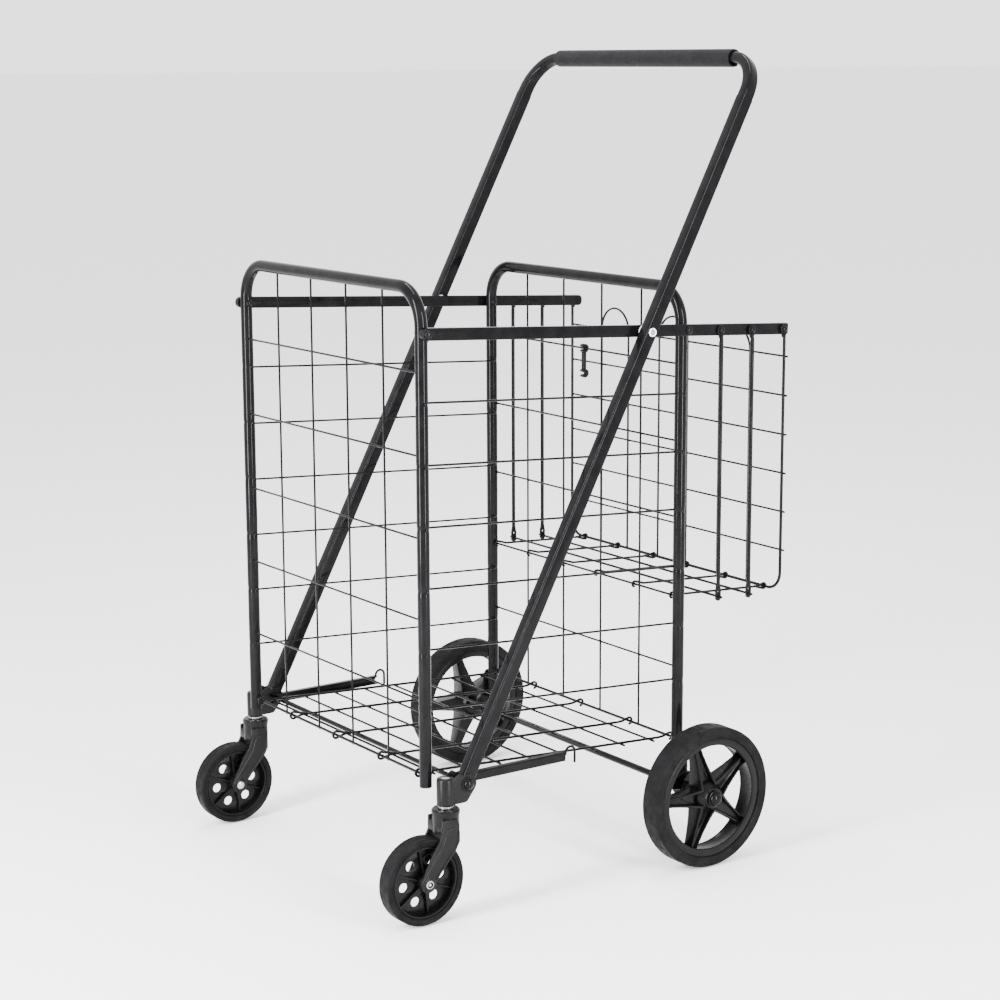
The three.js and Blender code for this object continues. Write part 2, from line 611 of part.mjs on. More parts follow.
function casterFork(sign) {
  const armOutline = [
    [-15, CROWN_TOP], [-16, CROWN_BOTTOM], [-27, 97], [-46.5, 58],
    ...circleOutline(-CASTER_TRAIL, CASTER_RADIUS, 11, 7, Math.PI, 2 * Math.PI),
    [-24, 60], [5, 92], [9, 108], [9, 124], [5, CROWN_TOP],
  ].map(([y, z]) => [y + STEM_Y, z]);
  const arms = [-1, 1].map((hand) => {
    const inner = STEM_X + hand * ARM_INNER;
    const outer = STEM_X + hand * (ARM_INNER + ARM_THICK);
    return plateX(armOutline, Math.min(inner, outer), Math.max(inner, outer));
  });
  const crownHalf = ARM_INNER + ARM_THICK / 2;
  const head = uprightRod(CROWN_BOTTOM, FORK_TOP, FORK_HEAD_RADIUS, 18);
  const crown = box(STEM_X - crownHalf, STEM_X + crownHalf, STEM_Y - 15, STEM_Y + 9, CROWN_BOTTOM, CROWN_TOP);
  const bore = uprightRod(FORK_TOP - 16, FORK_TOP + 1, STEM_BORE_RADIUS, 12);
  const axle = rodX(STEM_X - 30, STEM_X + 30, HUB_Y, CASTER_RADIUS, CASTER_BORE_RADIUS);
  return handed(union([head, crown, ...arms]).subtract(bore).subtract(axle), sign);
}

const CASTER_RIM_INNER = 42;
const CASTER_RIM_OUTER = 45.5;
const CASTER_RIM_HALF = 10;
const WEB_HOLE_RADIUS = 6.2;
const WEB_HOLE_CIRCLE = 27;
const FIRST_WEB_HOLE = 8 * DEG;

function casterHub(sign) {
  const holes = Array.from({ length: 6 }, (_, i) => ({
    y: HUB_Y + WEB_HOLE_CIRCLE * Math.cos(FIRST_WEB_HOLE + i * Math.PI / 3),
    z: CASTER_RADIUS + WEB_HOLE_CIRCLE * Math.sin(FIRST_WEB_HOLE + i * Math.PI / 3),
    radius: WEB_HOLE_RADIUS,
  }));
  const webRadius = (CASTER_RIM_INNER + CASTER_RIM_OUTER) / 2;
  const web = plateX(circleOutline(HUB_Y, CASTER_RADIUS, webRadius, 28), STEM_X - 2, STEM_X + 2, holes, 5);
  const rim = turnedX([
    [CASTER_RIM_INNER, STEM_X - CASTER_RIM_HALF], [CASTER_RIM_OUTER, STEM_X - CASTER_RIM_HALF],
    [CASTER_RIM_OUTER, STEM_X + CASTER_RIM_HALF], [CASTER_RIM_INNER, STEM_X + CASTER_RIM_HALF],
  ], HUB_Y, CASTER_RADIUS, 28);
  const bossHalf = ARM_INNER - 0.5;
  const boss = rodX(STEM_X - bossHalf, STEM_X + bossHalf, HUB_Y, CASTER_RADIUS, 9, 16);
  const bore = rodX(STEM_X - 20, STEM_X + 20, HUB_Y, CASTER_RADIUS, CASTER_BORE_RADIUS);
  return handed(union([web, rim, boss]).subtract(bore), sign);
}

function ringTyre(x, y, z, inner, outer, halfWidth, shoulder, segments) {
  return turnedX([
    [inner, x - halfWidth + 1], [outer - shoulder, x - halfWidth], [outer, x - halfWidth + shoulder],
    [outer, x + halfWidth - shoulder], [outer - shoulder, x + halfWidth], [inner, x + halfWidth - 1],
  ], y, z, segments);
}

const stemBottom = FORK_TOP - 15.5;
const stemTop = HOUSING_TOP - 2;
const collar = [FORK_TOP + 0.4, HOUSING_BOTTOM - 0.4];
const casterTyreInner = CASTER_RIM_OUTER + GAP;
const armFace = STEM_X + ARM_INNER + ARM_THICK + GAP;
const farFace = STEM_X - ARM_INNER - ARM_THICK - GAP;

for (const [side, sign] of sides) {
  place(`caster_stem_${side}`, handed(turnedZ([
    [0, stemBottom], [STEM_RADIUS, stemBottom], [STEM_RADIUS, collar[0]], [COLLAR_RADIUS, collar[0]],
    [COLLAR_RADIUS, collar[1]], [STEM_RADIUS, collar[1]], [STEM_RADIUS, stemTop], [0, stemTop],
  ], STEM_X, STEM_Y, 12), sign), brightSteel());
  place(`caster_fork_${side}`, casterFork(sign), plastic());
  place(`caster_hub_${side}`, casterHub(sign), plastic());
  place(`caster_tyre_${side}`, handed(
    ringTyre(STEM_X, HUB_Y, CASTER_RADIUS, casterTyreInner, CASTER_RADIUS, 11.5, 3.5, 40), sign), rubber());
  place(`caster_axle_${side}`, handed(turnedX([
    [0, farFace - 3], [AXLE_NUT_RADIUS, farFace - 3], [AXLE_NUT_RADIUS, farFace],
    [CASTER_AXLE_RADIUS, farFace], [CASTER_AXLE_RADIUS, armFace],
    [AXLE_NUT_RADIUS, armFace], [AXLE_NUT_RADIUS, armFace + 2.6], [0, armFace + 3],
  ], HUB_Y, CASTER_RADIUS, 12), sign), brightSteel());
}

// ---------- rear axle and wheels ----------
const BRACKET_X = BAR_INNER_X - 0.2;
const BRACKET_THICK = 2.5;
const WHEEL_HALF = 15; // half the tyre's width
const BOSS_HALF = 18;
const AXLE_RADIUS = 4.5;
const AXLE_BORE_RADIUS = AXLE_RADIUS + 0.5;
const CAP_RADIUS = 9.5;
const RIM_OUTER = 79;
const RIM_INNER = 69;
const SPOKE_COUNT = 5;
const FIRST_SPOKE = 34 * DEG;
const SLEEVE_END = WHEEL_HALF_TRACK - BOSS_HALF - GAP;
const CAP_START = WHEEL_HALF_TRACK + BOSS_HALF + GAP;

function axleBracket(sign) {
  const outline = [
    ...circleOutline(AXLE_Y, WHEEL_RADIUS, 12, 7, Math.PI, 2 * Math.PI),
    [AXLE_Y + 14, WHEEL_RADIUS + 25], [DEPTH + 9, REAR_FOOT + 40],
    [DEPTH - 9, REAR_FOOT + 40], [AXLE_Y - 13, WHEEL_RADIUS + 25],
  ];
  const plate = plateX(outline, BRACKET_X, BRACKET_X + BRACKET_THICK);
  const sleeve = rodX(BRACKET_X + 1, SLEEVE_END, AXLE_Y, WHEEL_RADIUS, 8, 14);
  const bore = rodX(BRACKET_X - 2, SLEEVE_END + 2, AXLE_Y, WHEEL_RADIUS, AXLE_BORE_RADIUS, 12);
  return handed(union([plate, sleeve]).subtract(bore), sign);
}

function rearHub(sign) {
  const x = WHEEL_HALF_TRACK;
  const rim = turnedX([
    [RIM_INNER, x - 12], [RIM_OUTER, x - 13.5], [RIM_OUTER, x + 13.5], [RIM_INNER, x + 12],
  ], AXLE_Y, WHEEL_RADIUS, 40);
  const boss = turnedX([
    [AXLE_BORE_RADIUS, x - BOSS_HALF], [17, x - BOSS_HALF], [23, x - 8], [23, x + 8],
    [15, x + BOSS_HALF], [AXLE_BORE_RADIUS, x + BOSS_HALF],
  ], AXLE_Y, WHEEL_RADIUS, 20);
  const rootHalf = 13;
  const tipHalf = 6;
  const root = 18;
  const reach = RIM_INNER + 2;
  const tapered = [[root, -rootHalf], [reach, -tipHalf], [reach, tipHalf], [root, rootHalf]];
  const spokes = Array.from({ length: SPOKE_COUNT }, (_, i) => {
    const turn = FIRST_SPOKE + i * 2 * Math.PI / SPOKE_COUNT;
    const outline = tapered.map(([radius, across]) => [
      AXLE_Y + radius * Math.cos(turn) - across * Math.sin(turn),
      WHEEL_RADIUS + radius * Math.sin(turn) + across * Math.cos(turn),
    ]);
    return plateX(outline, x - 6, x + 6);
  });
  return handed(union([rim, boss, ...spokes]), sign);
}

// Half of the axle's profile, from its middle to the crown of the dome cap.
const axleHalf = [
  [AXLE_RADIUS, CAP_START], [CAP_RADIUS, CAP_START], [CAP_RADIUS, CAP_START + 3], [6, CAP_START + 7],
  [0, CAP_START + 9],
];
const axleMirror = axleHalf.map(([radius, x]) => [radius, -x]).reverse();
place('rear_axle', turnedX([...axleMirror, ...axleHalf], AXLE_Y, WHEEL_RADIUS, 14), paint());

for (const [side, sign] of sides) {
  place(`axle_bracket_${side}`, axleBracket(sign), paint());
  place(`rear_hub_${side}`, rearHub(sign), plastic());
  place(`rear_tyre_${side}`, handed(
    ringTyre(WHEEL_HALF_TRACK, AXLE_Y, WHEEL_RADIUS, RIM_OUTER + GAP, WHEEL_RADIUS, WHEEL_HALF, 4, 48), sign),
  rubber());
}

// The origin is midway between the front of the casters and the rear of the basket, on the ground.
const FRONT_REACH = HUB_Y - CASTER_RADIUS;
const REAR_REACH = BAR_REAR_Y + BAR_HEIGHT / 2;
trolley.position.y = -(FRONT_REACH + REAR_REACH) / 2;

export default trolley;
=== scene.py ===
# Looks of the folding shopping trolley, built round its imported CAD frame.
# Shapes are drawn in millimetres from the front posts (y = 0) and the ground (z = 0),
# and are put into the frame's metres when a piece is made.
import json
import math

import bmesh
import bpy
from mathutils import Matrix, Vector


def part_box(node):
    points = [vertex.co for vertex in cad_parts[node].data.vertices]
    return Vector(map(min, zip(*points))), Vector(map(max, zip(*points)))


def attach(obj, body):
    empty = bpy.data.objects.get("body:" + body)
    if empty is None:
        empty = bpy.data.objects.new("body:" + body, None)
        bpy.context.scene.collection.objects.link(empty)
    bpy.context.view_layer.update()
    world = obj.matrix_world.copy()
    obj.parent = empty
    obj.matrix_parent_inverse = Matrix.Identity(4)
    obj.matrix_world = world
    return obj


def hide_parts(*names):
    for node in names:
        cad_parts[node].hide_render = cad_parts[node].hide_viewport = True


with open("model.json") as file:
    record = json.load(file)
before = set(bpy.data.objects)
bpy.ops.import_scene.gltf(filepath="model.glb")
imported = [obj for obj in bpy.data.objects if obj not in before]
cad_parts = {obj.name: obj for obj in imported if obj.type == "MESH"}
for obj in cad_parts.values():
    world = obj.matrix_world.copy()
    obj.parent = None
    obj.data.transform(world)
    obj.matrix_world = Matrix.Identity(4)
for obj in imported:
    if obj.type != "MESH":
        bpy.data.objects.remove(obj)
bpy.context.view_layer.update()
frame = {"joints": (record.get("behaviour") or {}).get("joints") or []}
joint_at = {joint["name"]: Vector(joint["pos_m"]) for joint in frame["joints"]}

MM = 0.001
FRONT_Y = joint_at["front_frame_tilt"].y  # metres, axis of the front posts in the frame


def joint_mm(name):
    """A joint's place as (x, y, z) in millimetres, with y from the front posts."""
    place = joint_at[name]
    return place.x / MM, (place.y - FRONT_Y) / MM, place.z / MM


# ---------- driving dimensions, millimetres ----------
_, DEPTH, BAR_REAR_Z = joint_mm("fold")
_, _, BAR_FRONT_Z = joint_mm("front_frame_tilt")
FALL = (BAR_FRONT_Z - BAR_REAR_Z) / DEPTH  # every link runs down towards the rear
SLOPE = math.atan(FALL)
HALF_WIDTH = 212
TUBE_RADIUS = 7.75
TUBE_WALL = 1.2
HOOP_BEND = 46
HOOP_RISE = 0.4  # the drawn hoops stand this much over the CAD ones
FRONT_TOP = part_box("front_frame_tube")[1].z / MM - TUBE_RADIUS + HOOP_RISE
REAR_TOP = FRONT_TOP - FALL * DEPTH
FRONT_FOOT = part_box("front_frame_tube")[0].z / MM
REAR_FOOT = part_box("rear_frame_tube")[0].z / MM

THIN_RADIUS = 1.4
FLOOR_RADIUS = 1.7
HINGE_RADIUS = 1.9
HANGER_RADIUS = 2.6
CORNER_RADIUS = 2.1

BAR_HALF_HEIGHT = 7.5
BAR_INNER_X = 220.3
BAR_OUTER_X = 228.3
_, PIVOT_Y, PIVOT_Z = joint_mm("handle_swing")
_, FOOT_Y, FOOT_Z = joint_mm("feet_tilt")
LEAN = math.atan2(PIVOT_Y - FOOT_Y, PIVOT_Z - FOOT_Z)
LEG_INNER_X = BAR_OUTER_X + 2.3
LEG_WIDTH = 15.5
LEG_DEPTH = 17.5
LEG_OUTER_X = LEG_INNER_X + LEG_WIDTH
LEG_X = LEG_INNER_X + LEG_WIDTH / 2
GRIP_RADIUS = 11.5
GRIP_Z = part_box("handle_grip")[1].z / MM - GRIP_RADIUS
BOW_BEND = 50

_, BASKET_Y, _ = joint_mm("basket_back_tilt")
HANGER_YS = [joint_mm(name)[1] for name in ("front_hangers_tilt", "rear_hangers_tilt")]
_, _, BASKET_HINGE_Z = joint_mm("basket_floor_tilt")
HANGER_DROP = BAR_REAR_Z - BASKET_HINGE_Z
_, _, FLOOR_REAR_Z = joint_mm("floor_tilt")
FLOOR_FRONT_Z = FLOOR_REAR_Z + FALL * DEPTH

WHEEL_X, AXLE_Y, WHEEL_RADIUS = joint_mm("rear_roll_right")
_, CASTER_Y, CASTER_RADIUS = joint_mm("caster_roll_right")
STEM_X, STEM_Y, _ = joint_mm("caster_swivel_right")

CLEARANCE = 0.35  # between parts that turn or slide on each other
SIDES = (("left", -1), ("right", 1))


def bar_z(y):
    return BAR_FRONT_Z - FALL * y


# ---------- materials ----------
def new_material(name, base, roughness, metallic=0.0, specular=0.5):
    material = bpy.data.materials.new(name)
    material.use_nodes = True
    shader = material.node_tree.nodes["Principled BSDF"]
    shader.inputs["Base Color"].default_value = (*base, 1)
    shader.inputs["Roughness"].default_value = roughness
    shader.inputs["Metallic"].default_value = metallic
    shader.inputs["Specular IOR Level"].default_value = specular
    return material


def noise(material, scale, detail=3.0, stretch=(1, 1, 1)):
    """A noise texture in the object's own space; scale is in features per metre."""
    nodes, links = material.node_tree.nodes, material.node_tree.links
    place = nodes.new("ShaderNodeTexCoord")
    mapping = nodes.new("ShaderNodeMapping")
    mapping.inputs["Scale"].default_value = stretch
    texture = nodes.new("ShaderNodeTexNoise")
    texture.inputs["Scale"].default_value = scale
    texture.inputs["Detail"].default_value = detail
    links.new(place.outputs["Object"], mapping.inputs["Vector"])
    links.new(mapping.outputs["Vector"], texture.inputs["Vector"])
    return texture.outputs["Fac"]


def vary(material, factor, socket, low, high):
    """Drives a shader socket between two values, or two colours, with a texture."""
    nodes, links = material.node_tree.nodes, material.node_tree.links
    ramp = nodes.new("ShaderNodeValToRGB")
    ramp.color_ramp.elements[0].position = 0.35
    ramp.color_ramp.elements[1].position = 0.65
    ends = [value if hasattr(value, "__len__") else (value,) * 3 for value in (low, high)]
    ramp.color_ramp.elements[0].color = (*ends[0], 1)
    ramp.color_ramp.elements[1].color = (*ends[1], 1)
    links.new(factor, ramp.inputs["Fac"])
    links.new(ramp.outputs["Color"], nodes["Principled BSDF"].inputs[socket])


def bump(material, height, strength, distance):
    nodes, links = material.node_tree.nodes, material.node_tree.links
    node = nodes.new("ShaderNodeBump")
    node.inputs["Strength"].default_value = strength
    node.inputs["Distance"].default_value = distance
    links.new(height, node.inputs["Height"])
    links.new(node.outputs["Normal"], nodes["Principled BSDF"].inputs["Normal"])


def black_paint():
    """Gloss black powder paint: slightly uneven gloss and a fine orange peel."""
    deep, worn = (0.0022, 0.0022, 0.0026), (0.0042, 0.0042, 0.0046)
    material = new_material("black_paint", deep, 0.12, specular=0.08)
    vary(material, noise(material, 60), "Base Color", deep, worn)
    vary(material, noise(material, 220), "Roughness", 0.08, 0.13)
    bump(material, noise(material, 900, detail=1.5), 0.035, 0.0002)
    return material


def moulded_plastic(name, shade, low, high, grain):
    """Moulded black plastic; low and high are the ends of its roughness."""
    material = new_material(name, (shade, shade, shade * 1.06), (low + high) / 2, specular=0.1)
    vary(material, noise(material, 45), "Base Color", (shade * 0.8,) * 3, (shade * 1.2,) * 3)
    vary(material, noise(material, 160), "Roughness", low, high)
    bump(material, noise(material, grain, detail=2), 0.22, 0.0002)
    return material


def tyre_rubber():
    """Dull rubber with a faint bloom of dust and a fine grain."""
    clean, dusty = (0.0024, 0.0024, 0.0027), (0.0050, 0.0050, 0.0054)
    material = new_material("tyre_rubber", clean, 0.7, specular=0.06)
    vary(material, noise(material, 45, detail=8), "Base Color", clean, dusty)
    vary(material, noise(material, 120, detail=5), "Roughness", 0.5, 0.8)
    bump(material, noise(material, 1100, detail=4), 0.35, 0.0003)
    return material


def grip_foam():
    """Closed-cell foam: soft sheen over a pebbled skin."""
    dark, pale = (0.0040, 0.0040, 0.0048), (0.0062, 0.0062, 0.0072)
    material = new_material("grip_foam", dark, 0.85, specular=0.08)
    shader = material.node_tree.nodes["Principled BSDF"]
    shader.inputs["Sheen Weight"].default_value = 0.03
    shader.inputs["Sheen Roughness"].default_value = 0.5
    vary(material, noise(material, 70, detail=4), "Base Color", dark, pale)
    vary(material, noise(material, 300), "Roughness", 0.72, 0.92)
    bump(material, noise(material, 1500, detail=3), 0.5, 0.0003)
    return material


def white_nylon():
    material = new_material("white_nylon", (0.80, 0.80, 0.78), 0.4)
    material.node_tree.nodes["Principled BSDF"].inputs["Subsurface Weight"].default_value = 0.1
    vary(material, noise(material, 150), "Base Color", (0.74, 0.74, 0.72), (0.84, 0.84, 0.82))
    bump(material, noise(material, 800), 0.1, 0.0002)
    return material


def bright_steel():
    """Zinc-plated steel with fine turning marks."""
    material = new_material("bright_steel", (0.40, 0.41, 0.43), 0.22, metallic=1.0)
    vary(material, noise(material, 90), "Base Color", (0.30, 0.31, 0.32), (0.48, 0.49, 0.51))
    vary(material, noise(material, 700, stretch=(1, 0.05, 0.05)), "Roughness", 0.16, 0.34)
    bump(material, noise(material, 900, stretch=(1, 0.1, 0.1)), 0.15, 0.0001)
    return material


MATERIALS = {
    "black_paint": black_paint(),
    "dark_plastic": moulded_plastic("dark_plastic", 0.0036, 0.26, 0.38, 1100),
    "wheel_plastic": moulded_plastic("wheel_plastic", 0.0026, 0.22, 0.34, 900),
    "tyre_rubber": tyre_rubber(),
    "grip_foam": grip_foam(),
    "white_nylon": white_nylon(),
    "bright_steel": bright_steel(),
}


# ---------- shapes ----------
BORE_DEPTH = 25  # how far the bore of an open tube is drawn


def pair(u, v):
    return u, v


def arc(centre, radius, start, end, steps, to_point=pair):
    """Points on an arc in a plane; start and end are in degrees."""
    points = []
    for step in range(steps + 1):
        angle = math.radians(start + (end - start) * step / steps)
        u = centre[0] + radius * math.cos(angle)
        v = centre[1] + radius * math.sin(angle)
        points.append(to_point(u, v))
    return points


def unit_circle(sides):
    angles = [2 * math.pi * i / sides for i in range(sides)]
    return [(math.cos(angle), math.sin(angle)) for angle in angles]


def both_sides(half):
    """Half a profile followed by its mirror image."""
    return half + [(radius, -along) for radius, along in reversed(half)]


def rounded_rectangle(width, height, corner, steps=4):
    points = []
    corners = ((1, 1, 0), (-1, 1, 90), (-1, -1, 180), (1, -1, 270))
    for across, up, start in corners:
        centre = (across * (width / 2 - corner), up * (height / 2 - corner))
        points += arc(centre, corner, start, start + 90, steps)
    return points


class Shape:
    """Closed forms gathered into one mesh, in millimetres from the front posts."""

    def __init__(self):
        self.points = []
        self.faces = []

    def add(self, points, faces):
        first = len(self.points)
        self.points += [Vector(point) for point in points]
        self.faces += [[first + index for index in face] for face in faces]
        return self

    def rings(self, rings, capped=True):
        """A skin over rings of equal length; capped closes each end with one face."""
        sides = len(rings[0])
        points = [point for ring in rings for point in ring]
        faces = []
        for row in range(len(rings) - 1):
            for i in range(sides):
                j = (i + 1) % sides
                low, high = row * sides, (row + 1) * sides
                faces.append([low + i, low + j, high + j, high + i])
        last = (len(rings) - 1) * sides
        if capped:
            faces.append(list(reversed(range(sides))))
            faces.append([last + i for i in range(sides)])
        return self.add(points, faces)

    def tube(self, path, radius, sides=12, ends="flat", section=None, up=None, wall=TUBE_WALL):
        """A round or shaped section swept along a path. radius may be one value or one for each point.
        section is one outline, or one for each point. ends are flat, round or open, which shows
        the wall of a hollow tube."""
        path = [Vector(point) for point in path]
        scales = list(radius) if hasattr(radius, "__len__") else [radius] * len(path)
        outline = section or unit_circle(sides)
        outlines = outline if len(outline[0]) > 2 else [outline] * len(path)
        tangents = []
        for i in range(len(path)):
            before = path[max(i - 1, 0)]
            after = path[min(i + 1, len(path) - 1)]
            tangents.append((after - before).normalized())
        first = Vector(up) if up else tangents[0].orthogonal()
        normal = (first - tangents[0] * first.dot(tangents[0])).normalized()
        stations = []
        for point, tangent, scale, shown in zip(path, tangents, scales, outlines):
            normal = (normal - tangent * normal.dot(tangent)).normalized()
            stations.append((point, tangent, normal, scale, shown))

        def ring(station, shift=0.0, shrink=1.0):
            point, tangent, side, scale, shown = station
            other = tangent.cross(side)
            factor = scale * shrink
            return [point + tangent * shift + (side * u + other * v) * factor for u, v in shown]

        rings = [ring(station) for station in stations]
        if ends == "round":
            for angle in (30, 60, 85):
                shrink = math.cos(math.radians(angle))
                swell = math.sin(math.radians(angle))
                rings.insert(0, ring(stations[0], -scales[0] * swell, shrink))
                rings.append(ring(stations[-1], scales[-1] * swell, shrink))
        if ends == "open":
            inner = 1 - wall / (max(u for u, v in outlines[0]) * scales[0])
            rings.insert(0, ring(stations[0], 0, inner))
            rings.insert(0, ring(stations[0], BORE_DEPTH, inner))
            rings.append(ring(stations[-1], 0, inner))
            rings.append(ring(stations[-1], -BORE_DEPTH, inner))
        return self.rings(rings)

    def wire(self, start, end, radius=THIN_RADIUS, sides=8, ends="flat"):
        return self.tube([start, end], radius, sides, ends)

    def ball(self, centre, radius, stretch=(1, 1, 1), rows=6, sides=10):
        centre = Vector(centre)
        rings = []
        for row in range(1, rows):
            polar = math.pi * row / rows
            ring = []
            for i in range(sides):
                turn = 2 * math.pi * i / sides
                ring.append(centre + Vector((
                    stretch[0] * radius * math.sin(polar) * math.cos(turn),
                    stretch[1] * radius * math.sin(polar) * math.sin(turn),
                    -stretch[2] * radius * math.cos(polar))))
            rings.append(ring)
        return self.rings(rings)

    def turned(self, profile, axis, centre, sides=32):
        """A body of revolution. The profile is a closed loop of (radius, along) points, or a run
        that starts and ends on the axis. The axis is x or z, and along is measured from centre."""
        centre = Vector(centre)

        def at(radius, along, angle):
            u, v = radius * math.cos(angle), radius * math.sin(angle)
            return centre + (Vector((along, u, v)) if axis == "x" else Vector((u, v, along)))

        closed = profile[0][0] > 1e-6
        rings = [[at(max(radius, 0.01), along, 2 * math.pi * i / sides) for i in range(sides)]
                 for radius, along in profile]
        if closed:
            rings.append(rings[0])
        return self.rings(rings, capped=not closed)

    def plate(self, outlines, x0, x1, bevel=0.6, steps=2):
        """A flat part with rounded edges, drawn in (y, z) and thick along x. The first outline
        is the edge and the others are holes."""
        curve = bpy.data.curves.new("outline", "CURVE")
        curve.dimensions = "2D"
        curve.fill_mode = "BOTH"
        curve.extrude = abs(x1 - x0) / 2 - bevel
        curve.bevel_depth = bevel
        curve.bevel_resolution = steps
        curve.offset = -bevel
        for number, outline in enumerate(outlines):
            area = sum(a[0] * b[1] - b[0] * a[1] for a, b in zip(outline, outline[1:] + outline[:1]))
            wanted = 1 if number == 0 else -1
            points = outline if area * wanted > 0 else outline[::-1]
            spline = curve.splines.new("POLY")
            spline.points.add(len(points) - 1)
            spline.use_cyclic_u = True
            for point, (y, z) in zip(spline.points, points):
                point.co = (y, z, 0, 1)
        holder = bpy.data.objects.new("outline", curve)
        mesh = bpy.data.meshes.new_from_object(holder)
        work = bmesh.new()
        work.from_mesh(mesh)
        bmesh.ops.remove_doubles(work, verts=work.verts, dist=1e-3)
        middle = (x0 + x1) / 2
        points = [(middle + vert.co.z, vert.co.x, vert.co.y) for vert in work.verts]
        faces = [[vert.index for vert in face.verts] for face in work.faces]
        work.free()
        bpy.data.objects.remove(holder)
        bpy.data.meshes.remove(mesh)
        bpy.data.curves.remove(curve)
        return self.add(points, faces)

    def prism(self, outline, y0, y1):
        """An (x, z) outline drawn straight along y."""
        return self.rings([[Vector((x, y, z)) for x, z in outline] for y in (y0, y1)])

    def mirrored(self, sign):
        if sign < 0:
            self.points = [Vector((-point.x, point.y, point.z)) for point in self.points]
            self.faces = [face[::-1] for face in self.faces]
        return self

    def tilted(self, angle, y, z):
        """Turned in the (y, z) plane about a point, by an angle in radians."""
        there = Matrix.Translation((0, y, z))
        back = Matrix.Translation((0, -y, -z))
        turn = there @ Matrix.Rotation(angle, 4, "X") @ back
        self.points = [turn @ point for point in self.points]
        return self

    def piece(self, name, body, slot, replaces=(), smooth=40):
        mesh = bpy.data.meshes.new(name)
        points = [(point.x * MM, FRONT_Y + point.y * MM, point.z * MM) for point in self.points]
        mesh.from_pydata(points, [], self.faces)
        work = bmesh.new()
        work.from_mesh(mesh)
        bmesh.ops.remove_doubles(work, verts=work.verts, dist=1e-6)
        bmesh.ops.recalc_face_normals(work, faces=work.faces)
        work.to_mesh(mesh)
        work.free()
        mesh.polygons.foreach_set("use_smooth", [True] * len(mesh.polygons))
        mesh.set_sharp_from_angle(angle=math.radians(smooth))
        mesh.materials.append(MATERIALS[slot])
        shown = bpy.data.objects.new(name, mesh)
        bpy.context.scene.collection.objects.link(shown)
        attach(shown, body)
        if replaces:
            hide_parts(*replaces)
        return shown


# ---------- hooped frames ----------
SIDE_WIRE_TOP = 632.9
SIDE_WIRE_STEP = 75.6
SIDE_WIRE_LEVELS = 6
SIDE_WIRE_X = 202.25
PINCH = 0.05  # how much of its radius the tube loses where a wire passes through
PINCH_REACH = 3.2


def pinched_heights(marks, foot, shoulder):
    heights = {foot, shoulder}
    for mark in marks:
        heights.update(mark + step for step in (-7, -5, -3, -1.5, 0, 1.5, 3, 5, 7))
    return sorted(heights)


def hoop(name, body, y, foot, top, marks):
    inner = HALF_WIDTH - HOOP_BEND
    shoulder = top - HOOP_BEND

    def at(x, z):
        return Vector((x, y, z))

    heights = pinched_heights(marks, foot, shoulder - 2)
    dips = [sum(math.exp(-((z - mark) / PINCH_REACH) ** 2) for mark in marks) for z in heights]
    widths = [TUBE_RADIUS * (1 - PINCH * dip) for dip in dips]
    left = [at(-HALF_WIDTH, z) for z in heights]
    right = [at(HALF_WIDTH, z) for z in reversed(heights)]
    bends = arc((-inner, shoulder), HOOP_BEND, 180, 90, 14, at)
    bends += arc((inner, shoulder), HOOP_BEND, 90, 0, 14, at)
    radii = widths + [TUBE_RADIUS] * len(bends) + widths[::-1]
    shape = Shape().tube(left + bends + right, radii, sides=24, ends="open", up=(0, 1, 0))
    return shape.piece(name, body, "black_paint", [name])


side_marks = [SIDE_WIRE_TOP - SIDE_WIRE_STEP * level for level in range(SIDE_WIRE_LEVELS)]
hoop("front_frame_tube", "front_frame", 0, FRONT_FOOT, FRONT_TOP, side_marks)
rear_marks = [mark - FALL * DEPTH for mark in side_marks]
hoop("rear_frame_tube", "rear_frame", DEPTH, REAR_FOOT, REAR_TOP, rear_marks)


# ---------- wire panels ----------
LEVEL_STEP = 100
FRONT_LEVEL_TOP = 670.3
REAR_LEVEL_TOP = 648.3
FRONT_LEVELS = [FRONT_LEVEL_TOP - LEVEL_STEP * step for step in range(5)]
REAR_LEVELS = [REAR_LEVEL_TOP - LEVEL_STEP * step for step in (0, 1, 2, 4)]
UPRIGHTS = [HALF_WIDTH * 2 / 5 * step for step in (-1.5, -0.5, 0.5, 1.5)]
REAR_UPRIGHT_OFFSET = 2.5
WELD = 1.9  # radius of the blob at a welded crossing


